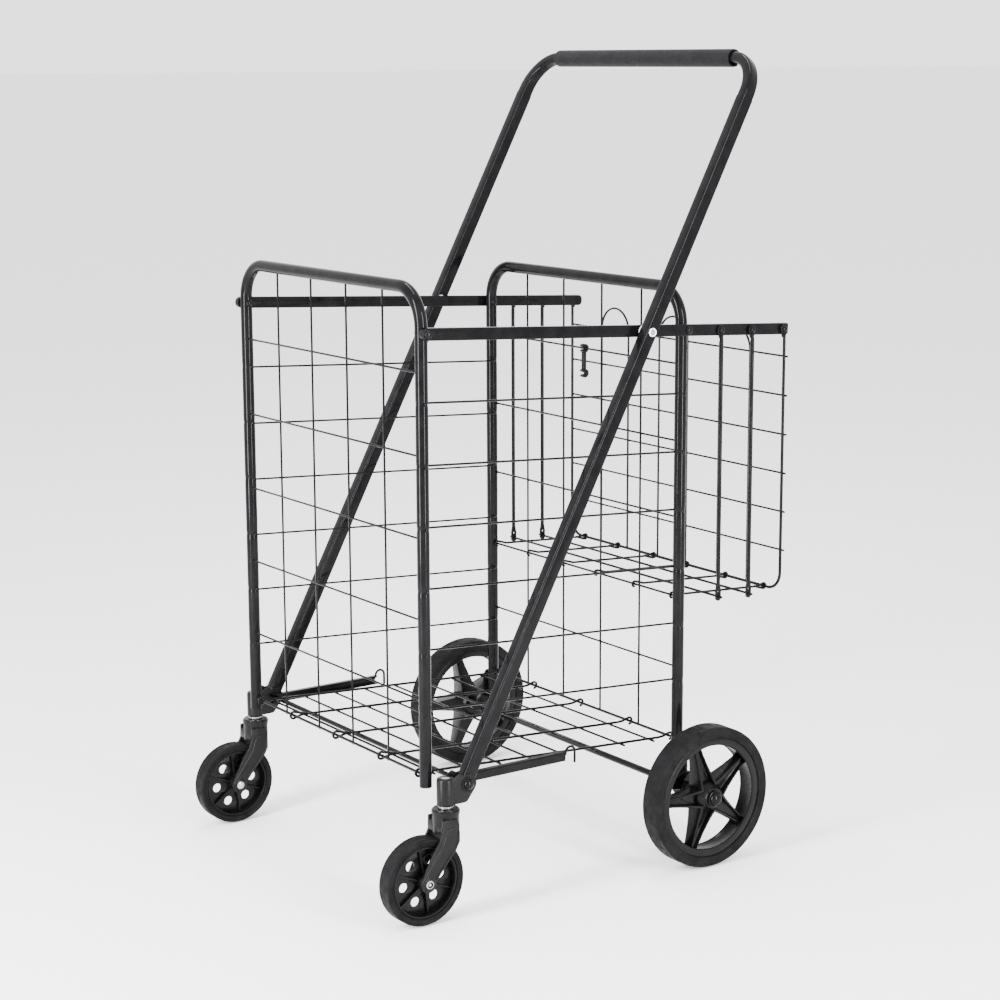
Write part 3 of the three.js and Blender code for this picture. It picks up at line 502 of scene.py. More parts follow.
def panel(name, body, y, outward, upright_offset, levels, bottom, top, hinge=None):
    """A welded wire panel between two posts. outward is the side its level wires are on, and hinge
    is the height of an extra rod for the basket."""
    upright_y = y + outward * upright_offset
    level_y = upright_y + outward * (2 * THIN_RADIUS - 0.3)
    level_half = HALF_WIDTH - math.sqrt(TUBE_RADIUS ** 2 - (level_y - y) ** 2) + 0.8
    hinge_half = HALF_WIDTH - TUBE_RADIUS + 1
    shape = Shape()
    shape.wire((-hinge_half, y, bottom), (hinge_half, y, bottom), HINGE_RADIUS, 12)
    for z in levels:
        shape.wire((-level_half, level_y, z), (level_half, level_y, z), THIN_RADIUS, 8, "round")
        for sign in (-1, 1):
            shape.ball((sign * (level_half - 0.8), level_y, z), WELD, (1.3, 0.9, 1.0))
    if hinge:
        shape.wire((-hinge_half, y, hinge), (hinge_half, y, hinge), THIN_RADIUS + 0.2)
        for sign in (-1, 1):
            shape.ball((sign * (hinge_half - 1), y, hinge), WELD, (1.2, 1, 1))
    for x in UPRIGHTS:
        shape.wire((x, upright_y, bottom - 1.5), (x, upright_y, top - 5), THIN_RADIUS, 8, "round")
        shape.ball((x, (y + upright_y) / 2, bottom), WELD + 0.3, (0.9, 1.1, 0.9))
        shape.ball((x, upright_y, top - TUBE_RADIUS + 0.6), WELD, (1, 1, 0.8))
        for z in levels:
            shape.ball((x, (upright_y + level_y) / 2, z), WELD, (0.85, 0.95, 0.85), 5, 8)
    for sign in (-1, 1):
        shape.ball((sign * (hinge_half - 0.6), y, bottom), WELD + 1.2, (0.9, 1, 1))
    return shape.piece(name, body, "black_paint", [name])


panel("front_panel_grid", "front_frame", 0, -1, 0, FRONT_LEVELS, FLOOR_FRONT_Z, FRONT_TOP)
panel("rear_panel_grid", "rear_frame", DEPTH, 1, REAR_UPRIGHT_OFFSET, REAR_LEVELS, FLOOR_REAR_Z, REAR_TOP,
      BASKET_HINGE_Z)


# ---------- side wires hooked through the posts ----------
SIDE_WIRE_BEND = 4
SIDE_WIRE_HEAD = 2.3


def side_wire(level, side, sign):
    z = SIDE_WIRE_TOP - SIDE_WIRE_STEP * level
    head_x = HALF_WIDTH + TUBE_RADIUS + 0.2
    bend = SIDE_WIRE_BEND

    def at(x, y):
        return Vector((x, y, z - FALL * y))

    front = arc((SIDE_WIRE_X + bend, bend), bend, 270, 180, 5, at)
    rear = arc((SIDE_WIRE_X + bend, DEPTH - bend), bend, 180, 90, 5, at)
    shape = Shape().tube([at(head_x, 0)] + front + rear + [at(head_x, DEPTH)], THIN_RADIUS, 8)
    for y in (0, DEPTH):
        shape.ball(at(head_x - 0.3, y), SIDE_WIRE_HEAD, (0.45, 1, 1))
    name = f"side_wire_{level + 1}_{side}"
    shape.mirrored(sign).piece(name, f"side_wires_{level + 1}", "black_paint", [name])


for level in range(SIDE_WIRE_LEVELS):
    for side, sign in SIDES:
        side_wire(level, side, sign)


# ---------- hinged floor ----------
def hook_end(x, y, z, toward, reach, wire, closed):
    """Path of a wire end curled round a rod at (y, z). toward is the side the wire comes from, reach
    is the radius of the curl, and a closed curl runs back along its own wire."""
    def at(u, v):
        return Vector((x, y + toward * u, z + v))

    path = [at(reach * 4.2, -toward * FALL * reach * 4.2), at(reach * 2.4, reach * 0.35)]
    if closed:
        path += arc((0, 0), reach, 66, 300, 16, at)
        path.append(at(reach * 2.4, -reach * 0.35))
        path.append(at(reach * 4.4, wire * 0.4 - toward * FALL * reach * 4.4))
    else:
        path += arc((0, 0), reach, 66, 262, 14, at)
    return path


FLOOR_WIRE_XS = (-196.5, -110, 0, 110, 196.5)
CROSS_WIRE_YS = [20] + [70 + 49 * step for step in range(7)]
CROSS_WIRE_HALF = 201


def floor_grid():
    shape = Shape()
    reach = HINGE_RADIUS + FLOOR_RADIUS + 0.9
    for x in FLOOR_WIRE_XS:
        front = hook_end(x, 0, FLOOR_FRONT_Z, 1, reach, FLOOR_RADIUS, True)
        rear = hook_end(x, DEPTH, FLOOR_REAR_Z, -1, reach, FLOOR_RADIUS, False)
        shape.tube(list(reversed(front)) + rear, FLOOR_RADIUS, 10, "round", up=(1, 0, 0))
    drop = FLOOR_RADIUS + THIN_RADIUS - 0.4
    for y in CROSS_WIRE_YS:
        z = FLOOR_FRONT_Z - FALL * y - drop
        shape.wire((-CROSS_WIRE_HALF, y, z), (CROSS_WIRE_HALF, y, z), THIN_RADIUS + 0.15, 8, "round")
        for x in FLOOR_WIRE_XS:
            shape.ball((x, y, z + drop * 0.45), WELD, (1, 1, 0.9), 5, 8)
    return shape.piece("floor_grid", "floor", "black_paint", ["floor_grid"])


floor_grid()


# ---------- top bars ----------
BAR_NOSE = 8.5  # how far the bar reaches in front of its front rivet
BAR_TAIL = 10.5  # and behind the basket's last rivet
REAR_CORNER = {"left": 6, "right": 3}
RIVET_RADIUS = 3
OUTER_HEAD = 5.4
INNER_HEAD = 4.6
HEAD_HEIGHT = 3.4


def dome(shape, x, y, z, radius, height, outward):
    """A rivet head with its flat on the plane x and its crown outward."""
    profile = [(0, 0), (radius, 0), (radius, height * 0.25), (radius * 0.82, height * 0.68),
               (radius * 0.5, height * 0.93), (0, height)]
    shape.turned([(r, outward * along) for r, along in profile], "x", (x, y, z), 20)


def top_bar(side, sign):
    rear_y = BASKET_Y + BAR_TAIL
    half = BAR_HALF_HEIGHT
    corner = REAR_CORNER[side]
    outline = arc((half - BAR_NOSE, 0), half, 90, 270, 10)
    outline += arc((rear_y - corner, -half + corner), corner, 270, 360, 5)
    outline += arc((rear_y - corner, half - corner), corner, 0, 90, 5)
    outline = [(y, BAR_FRONT_Z + v) for y, v in outline]
    shape = Shape().plate([outline], BAR_INNER_X, BAR_OUTER_X, bevel=1.1, steps=3)
    shape.tilted(-SLOPE, 0, BAR_FRONT_Z)
    inside = HALF_WIDTH - TUBE_RADIUS
    for y in (0, DEPTH):
        dome(shape, BAR_OUTER_X, y, bar_z(y), OUTER_HEAD, HEAD_HEIGHT, 1)
        dome(shape, inside + 0.6, y, bar_z(y), INNER_HEAD, HEAD_HEIGHT, -1)
        shape.wire((inside, y, bar_z(y)), (BAR_INNER_X + 1, y, bar_z(y)), RIVET_RADIUS, 14)
    name = f"top_bar_{side}"
    shape.mirrored(sign).piece(name, "top_bars", "black_paint", [name])


for side, sign in SIDES:
    top_bar(side, sign)


# ---------- hung rear basket ----------
HANGER_X = BAR_OUTER_X + CLEARANCE
EYE_THICK = 2.6
EYE_RADIUS = 6.2
HANGER_FOOT_X = HANGER_X + 0.9
HANGER_FOOT_THICK = 3.2
BASKET_LEVEL_TOP = 648.9
BASKET_LEVEL_STEP = 51.8
BASKET_LEVELS = 6
BASKET_LEVEL_HALF = 234.5
CORNER_BEND = 24
ARCH_CENTRES = (-129, 3, 133)
ARCH_HALF = 31
ARCH_TOP = 681
BASKET_WIRE_XS = (-199, -120, -37, 37, 120, 199)
BASKET_FLOOR_HALF = 238


def hanger_eye(shape, y, top):
    """The flattened top of a hanger: a teardrop riveted on the bar that narrows into the rod."""
    outline = arc((y, top), EYE_RADIUS, -35, 215, 14)
    outline += [(y - 2.6, top - 11), (y + 2.6, top - 11)]
    shape.plate([outline], HANGER_X, HANGER_X + EYE_THICK, bevel=0.7)
    dome(shape, HANGER_X + EYE_THICK, y, top, 4.4, 3.0, 1)


def hanger(which, y, side, sign):
    top = bar_z(y)
    foot = top - HANGER_DROP
    rod_x = HANGER_X + HANGER_RADIUS
    shape = Shape()
    hanger_eye(shape, y, top)
    rod = [(rod_x, y, z) for z in (top - 6, top - 12, foot + 18, foot + 11)]
    shape.tube(rod, [1.6, HANGER_RADIUS, HANGER_RADIUS, 1.8], 14)
    outline = arc((y, foot - 1.5), 4.4, 200, 340, 8)
    outline += [(y + 4.2, foot + 8), (y + 2.4, foot + 17), (y - 2.4, foot + 17), (y - 4.2, foot + 8)]
    slot = arc((y, foot + 7), 1.5, 0, 330, 11)
    shape.plate([outline, slot], HANGER_FOOT_X, HANGER_FOOT_X + HANGER_FOOT_THICK, bevel=0.6)
    name = f"basket_hanger_{which}_{side}"
    shape.mirrored(sign).piece(name, f"{which}_hangers", "black_paint", [name])


for which, y in zip(("front", "rear"), HANGER_YS):
    for side, sign in SIDES:
        hanger(which, y, side, sign)


def basket_back():
    top = bar_z(BASKET_Y)
    foot = top - HANGER_DROP
    rod_x = HANGER_X + HANGER_RADIUS
    bend_x = rod_x - CORNER_BEND

    def at(x, z):
        return Vector((x, BASKET_Y, z))

    shape = Shape()
    rod = [at(-rod_x, top - 8)]
    rod += arc((-bend_x, foot + CORNER_BEND), CORNER_BEND, 180, 270, 12, at)
    rod += arc((bend_x, foot + CORNER_BEND), CORNER_BEND, 270, 360, 12, at)
    rod.append(at(rod_x, top - 8))
    shape.tube(rod, CORNER_RADIUS, 14, up=(0, 1, 0))
    for sign in (-1, 1):
        eye = Shape()
        hanger_eye(eye, BASKET_Y, top)
        eye.mirrored(sign)
        shape.add(eye.points, eye.faces)
    level_y = BASKET_Y + CORNER_RADIUS + THIN_RADIUS - 0.6
    arch_y = BASKET_Y + 0.2
    crossings = [-rod_x, rod_x] + [c + sign * ARCH_HALF for c in ARCH_CENTRES for sign in (-1, 1)]
    for level in range(BASKET_LEVELS):
        z = BASKET_LEVEL_TOP - level * BASKET_LEVEL_STEP
        start, end = (-BASKET_LEVEL_HALF, level_y, z), (BASKET_LEVEL_HALF, level_y, z)
        shape.wire(start, end, THIN_RADIUS, 8, "round")
        for x in crossings:
            shape.ball((x, level_y - 1.0, z), WELD, (0.9, 0.9, 0.9), 5, 8)
    for centre in ARCH_CENTRES:
        path = [at(centre - ARCH_HALF, foot)]
        path += arc((centre, ARCH_TOP - ARCH_HALF), ARCH_HALF, 180, 0, 18, at)
        path.append(at(centre + ARCH_HALF, foot))
        shape.tube([(p.x, arch_y, p.z) for p in path], THIN_RADIUS + 0.15, 8, up=(0, 1, 0))
    return shape.piece("basket_back", "basket_back", "black_paint", ["basket_back"])


def basket_floor():
    def z_at(y):
        return BASKET_HINGE_Z - FALL * (y - DEPTH)

    shape = Shape()
    front_reach = THIN_RADIUS * 2 + 0.7
    rear_reach = CORNER_RADIUS + THIN_RADIUS + 0.1
    for x in BASKET_WIRE_XS:
        front = hook_end(x, DEPTH, BASKET_HINGE_Z, 1, front_reach, THIN_RADIUS, False)
        rear = hook_end(x, BASKET_Y, z_at(BASKET_Y), -1, rear_reach, THIN_RADIUS, True)
        shape.tube(list(reversed(front)) + rear, THIN_RADIUS + 0.25, 8, "round", up=(1, 0, 0))
    for y in HANGER_YS:
        start, end = (-BASKET_FLOOR_HALF, y, z_at(y)), (BASKET_FLOOR_HALF, y, z_at(y))
        shape.wire(start, end, THIN_RADIUS + 0.3, 10, "round")
        for x in BASKET_WIRE_XS:
            shape.ball((x, y, z_at(y)), WELD + 0.2, (1, 1, 0.9), 5, 8)
    return shape.piece("basket_floor", "basket_floor", "black_paint", ["basket_floor"])


basket_back()
basket_floor()


# ---------- storage clip ----------
CLIP_Y = DEPTH + 5
CLIP_TOP = REAR_LEVELS[0]
CLIP_FOOT = CLIP_TOP - 34
CLIP_HALF = 4


def storage_clip():
    """Two open hooks joined by a stem; the upper one hangs on the top level wire."""
    shape = Shape()
    for z in (CLIP_TOP, CLIP_FOOT):
        outer = arc((CLIP_Y, z), 6.0, 215, 505, 18)
        inner = arc((CLIP_Y, z), 2.2, 505, 215, 14)
        shape.plate([outer + inner], -CLIP_HALF, CLIP_HALF, bevel=0.9)
    half = 2.4
    stem = [(CLIP_Y - half, CLIP_FOOT + 4), (CLIP_Y + half, CLIP_FOOT + 4),
            (CLIP_Y + half, CLIP_TOP - 4), (CLIP_Y - half, CLIP_TOP - 4)]
    shape.plate([stem], -2.9, 2.9, bevel=0.9)
    for z in (CLIP_TOP - 6.5, CLIP_FOOT + 6.5):
        shape.ball((0, CLIP_Y, z), 3.2, (1.2, 0.95, 0.5))
    return shape.piece("storage_clip", "storage_clip", "dark_plastic", ["storage_clip"])


storage_clip()


# ---------- push handle ----------
LEG_VECTOR = Vector((0, math.sin(LEAN), math.cos(LEAN)))
FOOT_AT = Vector((0, FOOT_Y, FOOT_Z))
GRIP_ALONG = (GRIP_Z - FOOT_Z) / math.cos(LEAN)
LEG_TOP = GRIP_ALONG - BOW_BEND - 6
LEG_FOOT = -11  # past the foot's pivot
LEG_CORNER = 2.4
LEG_WALL = 1.3
BOW_GAP = 0.9  # how much smaller than the leg the bow's end is
BOW_STEPS = 18


def on_leg(x, along):
    point = FOOT_AT + LEG_VECTOR * along
    return Vector((x, point.y, point.z))


def handle_leg(side, sign):
    section = rounded_rectangle(LEG_WIDTH, LEG_DEPTH, LEG_CORNER)
    path = [on_leg(LEG_X, along) for along in (LEG_FOOT, LEG_TOP)]
    shape = Shape().tube(path, 1.0, ends="open", section=section, up=(1, 0, 0), wall=LEG_WALL)
    name = f"handle_leg_{side}"
    shape.mirrored(sign).piece(name, "push_handle", "black_paint", [name])


def bow_section(along):
    """The bow has the legs' section where it slides in and grows rounder towards the grip;
    along is 0 to 1."""
    width = LEG_WIDTH - BOW_GAP + 0.6 * along
    depth = LEG_DEPTH - BOW_GAP - 1.2 * along
    return rounded_rectangle(width, depth, 2.3 + 3.2 * along)


def handle_bow():
    inner = LEG_X - BOW_BEND
    up_leg = [on_leg(-LEG_X, LEG_TOP - 20), on_leg(-LEG_X, LEG_TOP)]
    left = arc((-inner, GRIP_ALONG - BOW_BEND), BOW_BEND, 180, 90, BOW_STEPS, on_leg)
    right = arc((inner, GRIP_ALONG - BOW_BEND), BOW_BEND, 90, 0, BOW_STEPS, on_leg)
    down_leg = [on_leg(LEG_X, LEG_TOP), on_leg(LEG_X, LEG_TOP - 20)]
    grown = [0, 0] + [step / BOW_STEPS for step in range(BOW_STEPS + 1)]
    sections = [bow_section(along) for along in grown + grown[::-1]]
    shape = Shape().tube(up_leg + left + right + down_leg, 1.0, section=sections, up=(1, 0, 0))
    return shape.piece("handle_bow", "push_handle", "black_paint", ["handle_bow"])


def handle_grip():
    half = LEG_X - BOW_BEND - 1
    bore = GRIP_RADIUS - 2.1
    end = [(bore, -half + 1), (bore + 0.4, -half), (GRIP_RADIUS - 0.7, -half),
           (GRIP_RADIUS - 0.2, -half + 0.5), (GRIP_RADIUS, -half + 1.6)]
    shape = Shape().turned(both_sides(end), "x", on_leg(0, GRIP_ALONG), 40)
    grip = shape.piece("handle_grip", "push_handle", "grip_foam", ["handle_grip"])
    return grip


def handle_pivot(side, sign):
    """The spacer between bar and leg, and the rivet's pale ring and bright pin outside the leg."""
    x0, x1 = BAR_OUTER_X + CLEARANCE, LEG_INNER_X - CLEARANCE
    profile = [(3.5, x0), (7.4, x0), (8, x0 + 0.35), (8, x1 - 0.35), (7.4, x1), (3.5, x1)]
    washer = Shape().turned(profile, "x", (0, PIVOT_Y, PIVOT_Z), 32)
    name = f"pivot_washer_{side}"
    washer.mirrored(sign).piece(name, "push_handle", "white_nylon", [name])
    face = LEG_OUTER_X + 0.1
    profile = [(3.1, 0), (5.5, 0), (5.5, 0.9), (4.9, 1.6), (3.7, 1.6), (3.1, 1.0)]
    ring = Shape().turned(profile, "x", (face, PIVOT_Y, PIVOT_Z), 32)
    ring.mirrored(sign).piece(f"pivot_ring_{side}", "push_handle", "white_nylon", [f"pivot_rivet_{side}"])
    pin = Shape()
    dome(pin, face, PIVOT_Y, PIVOT_Z, 2.0, 1.8, 1)
    pin.mirrored(sign).piece(f"pivot_pin_{side}", "push_handle", "bright_steel")


handle_bow()
handle_grip()
for side, sign in SIDES:
    handle_leg(side, sign)
    handle_pivot(side, sign)


# ---------- caster feet, cross rod and bottom rails ----------
HOUSING_BOTTOM = 144
HOUSING_TOP = 178
HOUSING_RADIUS = 11
HOUSING_BORE = 5.6
CHEEK = 1.5
CHEEK_ROUND = 12.5
ROD_RADIUS = 3.2
ROD_END = LEG_OUTER_X + CLEARANCE + CHEEK + CLEARANCE
RAIL_REAR_Y = 200
RAIL_HALF = 6
RAIL_WALL = 1.4
RAIL_CORNER = 2
HOOK_BEND = 7
HOOK_RADIUS = 1.7


def caster_foot(side, sign):
    """The upright housing of the swivel stem, and two cheeks that clasp the handle leg."""
    profile = [
        (HOUSING_BORE, HOUSING_BOTTOM), (HOUSING_RADIUS - 1, HOUSING_BOTTOM),
        (HOUSING_RADIUS, HOUSING_BOTTOM + 1), (HOUSING_RADIUS, HOUSING_TOP - 3),
        (HOUSING_RADIUS - 0.9, HOUSING_TOP - 0.8), (HOUSING_RADIUS - 2.2, HOUSING_TOP),
        (HOUSING_BORE, HOUSING_TOP)]
    shape = Shape().turned(profile, "z", (STEM_X, STEM_Y, 0), 36)
    inner = LEG_INNER_X - CLEARANCE - CHEEK
    outer = LEG_OUTER_X + CLEARANCE
    root = STEM_Y + 2
    web = STEM_Y + HOUSING_RADIUS + 1
    bottom = HOUSING_BOTTOM + 1
    shoulder = HOUSING_TOP - 2
    cheek = [(root, bottom), (34, bottom), (37, bottom + 1)]
    cheek += arc((FOOT_Y, FOOT_Z), CHEEK_ROUND, -32, 112, 14)
    cheek += [(26, shoulder + 7), (root, shoulder)]
    for x in (inner, outer):
        shape.plate([cheek], x, x + CHEEK, bevel=0.5)
    bridge = [(root, bottom), (web, bottom), (web, shoulder), (root, shoulder)]
    shape.plate([bridge], inner + 0.4, outer + CHEEK - 0.4, bevel=0.7)
    name = f"caster_foot_{side}"
    shape.mirrored(sign).piece(name, "front_feet", "dark_plastic", [name])


def bottom_rail(side, sign):
    """A channel open towards the inside, with a wire hook at its rear end."""
    x0, x1 = BAR_INNER_X, BAR_OUTER_X
    low, high = FOOT_Z - RAIL_HALF, FOOT_Z + RAIL_HALF
    outer = [(x0, low)]
    outer += arc((x1 - RAIL_CORNER, low + RAIL_CORNER), RAIL_CORNER, 270, 360, 4)
    outer += arc((x1 - RAIL_CORNER, high - RAIL_CORNER), RAIL_CORNER, 0, 90, 4)
    outer.append((x0, high))
    web_x = x1 - RAIL_WALL
    inner = [(x0, high - RAIL_WALL), (web_x, high - RAIL_WALL)]
    inner += [(web_x, low + RAIL_WALL), (x0, low + RAIL_WALL)]
    shape = Shape().prism(outer + inner, FOOT_Y - 8, RAIL_REAR_Y)

    def at(y, z):
        return Vector((web_x, RAIL_REAR_Y + y, FOOT_Z + z))

    path = [at(-14, 1), at(-1, 1.5), at(1, 3.5)]
    path += arc((1 + HOOK_BEND, 5), HOOK_BEND, 180, 0, 14, at)
    path.append(at(1 + 2 * HOOK_BEND, -9))
    shape.tube(path, HOOK_RADIUS, 10, "round", up=(1, 0, 0))
    name = f"bottom_rail_{side}"
    shape.mirrored(sign).piece(name, "bottom_rails", "black_paint", [name])


def cross_rod():
    half = ROD_END + 2
    shape = Shape().tube([(-half, FOOT_Y, FOOT_Z), (half, FOOT_Y, FOOT_Z)], ROD_RADIUS, 20)
    shape.piece("front_cross_rod", "front_feet", "black_paint", ["front_cross_rod"])
    profile = [(0, 0), (9.4, 0), (9.4, 0.9), (6.9, 1.0), (6.7, 2.4), (5.4, 4.4), (3.0, 5.6), (0, 6.0)]
    for side, sign in SIDES:
        nut = Shape().turned(profile, "x", (ROD_END, FOOT_Y, FOOT_Z), 32)
        name = f"cross_rod_nut_{side}"
        nut.mirrored(sign).piece(name, "front_feet", "black_paint", [name])


cross_rod()
for side, sign in SIDES:
    caster_foot(side, sign)
    bottom_rail(side, sign)


# ---------- wheels in general ----------
def radial(degrees):
    """Unit vectors along and across a spoke, in the wheel's plane."""
    angle = math.radians(degrees)
    along = Vector((0, math.cos(angle), math.sin(angle)))
    across = Vector((0, -math.sin(angle), math.cos(angle)))
    return along, across


def tyre(name, body, place, inner, outer, half, shoulder, sides, sign):
    """A solid tyre: a lip at the rim, a slightly hollow wall, a rounded shoulder and a flat tread."""
    wall = outer - inner
    profile = [(inner, half - 1.6), (inner + 0.7, half - 0.7), (inner + wall * 0.14, half - 0.5),
               (inner + wall * 0.2, half - 1.0), (inner + wall * 0.5, half - 0.7)]
    for angle in (90, 72, 54, 36, 18, 4):
        radius = outer - shoulder + shoulder * math.cos(math.radians(angle))
        along = half - shoulder + shoulder * math.sin(math.radians(angle))
        profile.append((radius, along))
    profile.append((outer, half - shoulder - 1.5))
    shape = Shape().turned(both_sides(profile), "x", place, sides)
    shape.mirrored(sign).piece(name, body, "tyre_rubber", [name], smooth=32)


# ---------- swivel casters ----------
CASTER_PLACE = (STEM_X, CASTER_Y, CASTER_RADIUS)
TRAIL = STEM_Y - CASTER_Y  # the wheel's axle is this far in front of the stem
ARM_INNER = 13.8
ARM_THICK = 4
FORK_TOP = 140
FORK_HEAD = 16.6
CROWN_TOP = 130
CROWN_BOTTOM = 112
STEM_RADIUS = 5
STEM_BOTTOM = 124.5
HOLES = 6
FIRST_HOLE = 8  # degrees
HOLE_RADIUS = 6.2
HOLE_CIRCLE = 27
DISC_RADIUS = 44
DISC_HALF = 1.6


def caster_fork(side, sign):
    def local(points):
        return [(STEM_Y + y, z) for y, z in points]

    arm = [(-15, CROWN_TOP), (-15.5, CROWN_BOTTOM), (-20, 104), (-29, 92)]
    arm += arc((-TRAIL, CASTER_RADIUS), 11, 165, 375, 14)
    arm += [(-14, 72), (3, 90), (8.5, 101), (9, 122), (5, CROWN_TOP)]
    front_ridge = [(-2, 119), (-7, 117), (-10.5, 110), (-13, 100), (-22, 88), (-44, 58)]
    back_ridge = [(7.4, 113), (7.4, 101), (1.8, 91), (-14.6, 73), (-25, 60)]
    shape = Shape()
    for hand in (-1, 1):
        inner = STEM_X + hand * ARM_INNER
        outer = STEM_X + hand * (ARM_INNER + ARM_THICK)
        shape.plate([local(arm)], min(inner, outer), max(inner, outer), bevel=1.0)
        for points, radius in ((front_ridge, 1.8), (back_ridge, 1.6)):
            path = [(outer - hand * 0.4, y, z) for y, z in local(points)]
            shape.tube(path, radius, 10, "round", up=(1, 0, 0))
        boss = [(0, -2), (9, -2), (9, 0.1), (8, 0.6), (0, 0.6)]
        boss = [(radius, hand * along) for radius, along in boss]
        shape.turned(boss, "x", (outer, CASTER_Y, CASTER_RADIUS), 28)
    lip = FORK_HEAD + 1.0
    profile = [
        (HOUSING_BORE, CROWN_BOTTOM - 1), (FORK_HEAD, CROWN_BOTTOM - 1), (FORK_HEAD, FORK_TOP - 6.4),
        (lip, FORK_TOP - 6.2), (lip, FORK_TOP - 2), (lip - 0.5, FORK_TOP - 1.5),
        (FORK_HEAD - 0.6, FORK_TOP - 1.4), (FORK_HEAD - 0.9, FORK_TOP), (HOUSING_BORE, FORK_TOP)]
    shape.turned(profile, "z", (STEM_X, STEM_Y, 0), 44)
    crown = [(-16, CROWN_BOTTOM + 1), (9, CROWN_BOTTOM + 1), (9, CROWN_TOP - 2)]
    crown += [(-10, CROWN_TOP), (-16, CROWN_TOP - 8)]
    crown_half = ARM_INNER + 1.5
    shape.plate([local(crown)], STEM_X - crown_half, STEM_X + crown_half, bevel=1.2)
    name = f"caster_fork_{side}"
    shape.mirrored(sign).piece(name, f"caster_swivel_{side}", "dark_plastic", [name])


def caster_stem(side, sign):
    top = HOUSING_TOP - 0.5
    profile = [
        (0, STEM_BOTTOM), (STEM_RADIUS, STEM_BOTTOM), (STEM_RADIUS, 140.5), (9, 140.5), (9.6, 141),
        (9.6, 141.7), (8.8, 142), (9.6, 142.3), (9.6, 143), (9, 143.5), (STEM_RADIUS, 143.5),
        (STEM_RADIUS, top), (0, top)]
    shape = Shape().turned(profile, "z", (STEM_X, STEM_Y, 0), 32)
    name = f"caster_stem_{side}"
    shape.mirrored(sign).piece(name, f"caster_swivel_{side}", "bright_steel", [name])


def caster_axle(side, sign):
    """A plain head on the inner side and a ringed nut on the outer side."""
    near = ARM_INNER + ARM_THICK + 0.4
    head = 5.3
    profile = [
        (0, -near - 2.4), (head - 1, -near - 2.4), (head, -near - 1.6), (head, -near), (4, -near),
        (4, near), (head, near), (head, near + 1.5), (head - 0.6, near + 2.2), (head - 1.4, near + 2.2),
        (head - 1.8, near), (2.2, near), (1.8, near + 1.4), (0, near + 1.7)]
    shape = Shape().turned(profile, "x", CASTER_PLACE, 24)
    name = f"caster_axle_{side}"
    shape.mirrored(sign).piece(name, f"caster_swivel_{side}", "bright_steel", [name])


def caster_wheel(side, sign):
    centre = (CASTER_Y, CASTER_RADIUS)
    outlines = [arc(centre, DISC_RADIUS, 0, 352.5, 47)]
    for i in range(HOLES):
        along, _ = radial(FIRST_HOLE + 360 / HOLES * i)
        middle = (CASTER_Y + HOLE_CIRCLE * along.y, CASTER_RADIUS + HOLE_CIRCLE * along.z)
        outlines.append(arc(middle, HOLE_RADIUS, 0, 345, 23))
    shape = Shape().plate(outlines, STEM_X - DISC_HALF, STEM_X + DISC_HALF, bevel=0.4, steps=1)
    rim = both_sides([(42.3, -9), (43, -10), (44.8, -10), (45.5, -9.4)]) + [(42.0, 3), (42.0, -3)]
    shape.turned(rim, "x", CASTER_PLACE, 72)
    boss = both_sides([(4.4, -13.3), (8.4, -13.3), (9, -12.6), (10.5, -3)])
    shape.turned(boss, "x", CASTER_PLACE, 32)
    blade = ((1, 0.6), (0.96, 1), (-0.96, 1), (-1, 0.6), (-1, -0.6), (-0.96, -1), (0.96, -1), (1, -0.6))
    for i in range(HOLES):
        along, across = radial(FIRST_HOLE + 360 / HOLES * (i + 0.5))
        rings = []
        for radius, wide, thick in ((9, 7.6, 0.9), (43, 5.2, 0.8)):
            at = Vector(CASTER_PLACE) + along * radius
            rings.append([at + Vector((u * wide, 0, 0)) + across * (v * thick) for u, v in blade])
        shape.rings(rings)
    body = f"caster_wheel_{side}"
    name = f"caster_hub_{side}"
    shape.mirrored(sign).piece(name, body, "wheel_plastic", [name])
    tyre(f"caster_tyre_{side}", body, CASTER_PLACE, 45.7, CASTER_RADIUS, 11.8, 2.8, 80, sign)


for side, sign in SIDES:
    caster_stem(side, sign)
    caster_axle(side, sign)
    caster_fork(side, sign)
    caster_wheel(side, sign)


# ---------- rear axle and wheels ----------
WHEEL_PLACE = (WHEEL_X, AXLE_Y, WHEEL_RADIUS)
AXLE_RADIUS = 4.5
BOSS_HALF = 18
RIM_INNER = 69
RIM_OUTER = 79
SPOKES = 5
FIRST_SPOKE = 34  # degrees
BRACKET_THICK = 2.5


def rear_axle():
    cap = WHEEL_X + BOSS_HALF + CLEARANCE
    shape = Shape().tube([(-cap, AXLE_Y, WHEEL_RADIUS), (cap, AXLE_Y, WHEEL_RADIUS)], AXLE_RADIUS, 24)
    profile = [(0, 0), (10.8, 0), (11, 0.4), (11, 1.8), (10.4, 2.3), (9.2, 2.4), (9.2, 3.2), (8.9, 4.6),
               (7.4, 6.8), (4.8, 8.3), (2.4, 8.9), (0, 9)]
    for sign in (-1, 1):
        turned = [(radius, sign * along) for radius, along in profile]
        shape.turned(turned, "x", (sign * cap, AXLE_Y, WHEEL_RADIUS), 32)
    shape.piece("rear_axle", "rear_frame", "black_paint", ["rear_axle"])


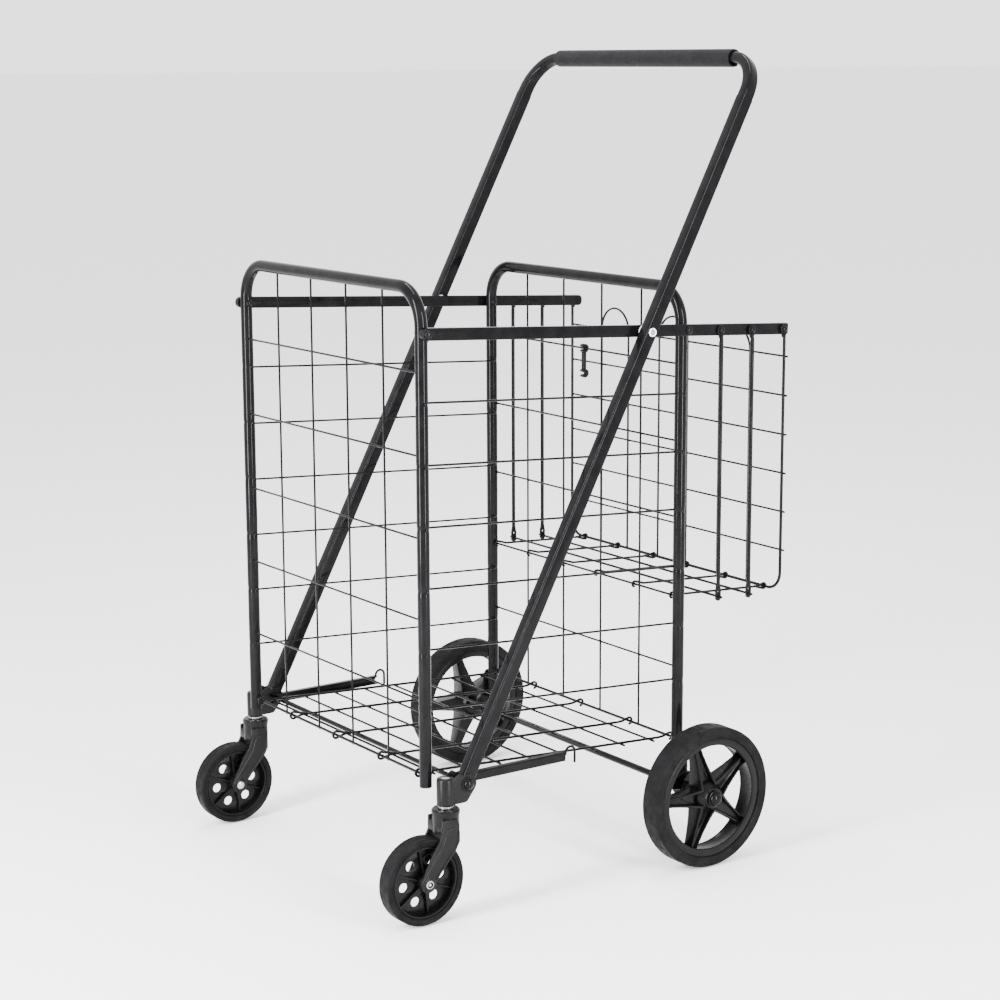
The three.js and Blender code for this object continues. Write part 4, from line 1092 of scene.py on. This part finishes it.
def axle_bracket(side, sign):
    """A pressed plate from the post's foot to the axle, with a spacing sleeve and a folded toe."""
    x0 = BAR_INNER_X - 0.2
    foot = REAR_FOOT
    outline = arc((AXLE_Y, WHEEL_RADIUS), 12, 180, 360, 12)
    outline += [
        (AXLE_Y + 13.5, WHEEL_RADIUS + 24), (DEPTH + 9, foot + 38), (DEPTH + 6, foot + 41),
        (DEPTH - 6, foot + 41), (DEPTH - 9, foot + 38), (AXLE_Y - 13, WHEEL_RADIUS + 24)]
    shape = Shape().plate([outline], x0, x0 + BRACKET_THICK, bevel=0.6)
    rib_x = x0 + BRACKET_THICK + 0.1
    for offset in (-9.4, 9.4):
        start = (rib_x, AXLE_Y + offset, WHEEL_RADIUS + 6)
        end = (rib_x, DEPTH + offset * 0.7, foot + 36)
        shape.wire(start, end, 1.3, 8, "round")
    sleeve_end = WHEEL_X - BOSS_HALF - CLEARANCE
    sleeve = [
        (5.2, x0 + 1), (11, x0 + 1), (9.6, x0 + 7), (8, x0 + 9), (8, sleeve_end - 5),
        (9.4, sleeve_end - 4.4), (9.4, sleeve_end), (5.2, sleeve_end)]
    shape.turned(sleeve, "x", (0, AXLE_Y, WHEEL_RADIUS), 28)
    toe = arc((AXLE_Y - 17, WHEEL_RADIUS + 7), 8, 90, 270, 8)
    toe += [(AXLE_Y + 10, WHEEL_RADIUS - 4), (AXLE_Y + 13, WHEEL_RADIUS + 8)]
    toe += [(AXLE_Y + 9, WHEEL_RADIUS + 20), (AXLE_Y - 3, WHEEL_RADIUS + 22)]
    shape.plate([toe], x0 + 2, x0 + 15, bevel=2.0, steps=3)
    for z in (foot + 14, foot + 31):
        dome(shape, x0 + BRACKET_THICK, DEPTH, z, 5.2, 4.2, 1)
    name = f"axle_bracket_{side}"
    shape.mirrored(sign).piece(name, "rear_frame", "black_paint", [name])


def spoke(shape, along, across):
    """A tapered channel: a web set back between two edge flanges, deep at the hub."""
    stations = (  # distance from the axle, half width, half depth, flange width
        (14, 13.4, 13.6, 3.8), (22, 11.6, 12.2, 3.3), (32, 9.8, 10.6, 2.8),
        (46, 7.9, 8.8, 2.4), (60, 6.3, 7.6, 2.2), (71, 5.4, 7.2, 2.1))
    rings = []
    for radius, half, deep, flange in stations:
        web = deep * 0.3
        edge = half - flange
        right = [(half, deep - 1), (half - 0.7, deep), (edge, deep), (edge - 0.8, web + 1)]
        right.append((edge - 2.0, web))
        section = [(-half, -deep), (half, -deep)] + right + [(-u, v) for u, v in reversed(right)]
        at = Vector(WHEEL_PLACE) + along * radius
        rings.append([at + across * u + Vector((v, 0, 0)) for u, v in section])
    shape.rings(rings)


def rear_wheel(side, sign):
    rim = both_sides([
        (RIM_INNER, -11.2), (RIM_INNER + 1, -12.6), (RIM_OUTER - 1, -13.4), (RIM_OUTER, -12.8)])
    rim += [(RIM_INNER + 1.2, 9), (RIM_INNER + 1.2, -9)]
    shape = Shape().turned(rim, "x", WHEEL_PLACE, 96)
    boss = [
        (5, -BOSS_HALF), (15.2, -BOSS_HALF), (16, 1 - BOSS_HALF), (21, -9), (21.5, 6), (19, 10.5),
        (14.8, 15), (13.4, BOSS_HALF), (5, BOSS_HALF)]
    shape.turned(boss, "x", WHEEL_PLACE, 48)
    for i in range(SPOKES):
        spoke(shape, *radial(FIRST_SPOKE + 360 / SPOKES * i))
    body = f"rear_wheel_{side}"
    name = f"rear_hub_{side}"
    shape.mirrored(sign).piece(name, body, "wheel_plastic", [name])
    tyre(f"rear_tyre_{side}", body, WHEEL_PLACE, RIM_OUTER + 0.2, WHEEL_RADIUS, 15.3, 3.2, 128, sign)


rear_axle()
for side, sign in SIDES:
    axle_bracket(side, sign)
    rear_wheel(side, sign)


# ---------- studio, in metres ----------
CAMERA_PLACE = Vector((2.4576, -1.6946, 1.0347))
CAMERA_HEADING = 55.13  # degrees from +Y towards -X
CAMERA_PITCH = 10.95  # degrees below level
CAMERA_ROLL = -0.25
CAMERA_LENS = 82.4
SENSOR_WIDTH = 36
FLOOR_HALF = 150
FLOOR_Z = -0.001
WORLD_STRENGTH = 2.4
LIGHTS = (  # name, place, aim, width and height, watts
    ("key_light", (0.3, -2.0, 1.1), (0, 0, 1.1), (0.45, 2.1), 190),
    ("fill_light", (2.1, 0.25, 1.0), (0, 0, 1.0), (0.3, 1.9), 110),
    ("top_light", (-0.4, 0.1, 3.6), (0, 0, 0.5), (0.4, 2.4), 90),
)


def make_camera():
    data = bpy.data.cameras.new("camera")
    data.sensor_width = SENSOR_WIDTH
    data.lens = CAMERA_LENS
    camera = bpy.data.objects.new("camera", data)
    bpy.context.scene.collection.objects.link(camera)
    turn = Matrix.Rotation(math.radians(CAMERA_HEADING), 4, "Z")
    turn = turn @ Matrix.Rotation(math.radians(90 - CAMERA_PITCH), 4, "X")
    turn = turn @ Matrix.Rotation(math.radians(CAMERA_ROLL), 4, "Z")
    camera.matrix_world = Matrix.Translation(CAMERA_PLACE) @ turn
    bpy.context.scene.camera = camera


def make_floor():
    mesh = bpy.data.meshes.new("studio_floor")
    corners = [(x * FLOOR_HALF, y * FLOOR_HALF, FLOOR_Z) for x, y in ((-1, -1), (1, -1), (1, 1), (-1, 1))]
    mesh.from_pydata(corners, [], [[0, 1, 2, 3]])
    mesh.materials.append(new_material("studio_floor", (0.9, 0.9, 0.9), 0.9, specular=0.05))
    ground = bpy.data.objects.new("studio_floor", mesh)
    bpy.context.scene.collection.objects.link(ground)


def area_light(name, place, aim, size, watts):
    data = bpy.data.lights.new(name, "AREA")
    data.shape = "RECTANGLE"
    data.size, data.size_y = size
    data.energy = watts
    light = bpy.data.objects.new(name, data)
    light.location = place
    light.rotation_mode = "QUATERNION"
    light.rotation_quaternion = (Vector(aim) - Vector(place)).to_track_quat("-Z", "Y")
    bpy.context.scene.collection.objects.link(light)


def make_light():
    world = bpy.data.worlds.new("studio")
    world.use_nodes = True
    background = world.node_tree.nodes["Background"]
    background.inputs["Color"].default_value = (1, 1, 1, 1)
    background.inputs["Strength"].default_value = WORLD_STRENGTH
    bpy.context.scene.world = world
    for light in LIGHTS:
        area_light(*light)


make_camera()
make_floor()
make_light()
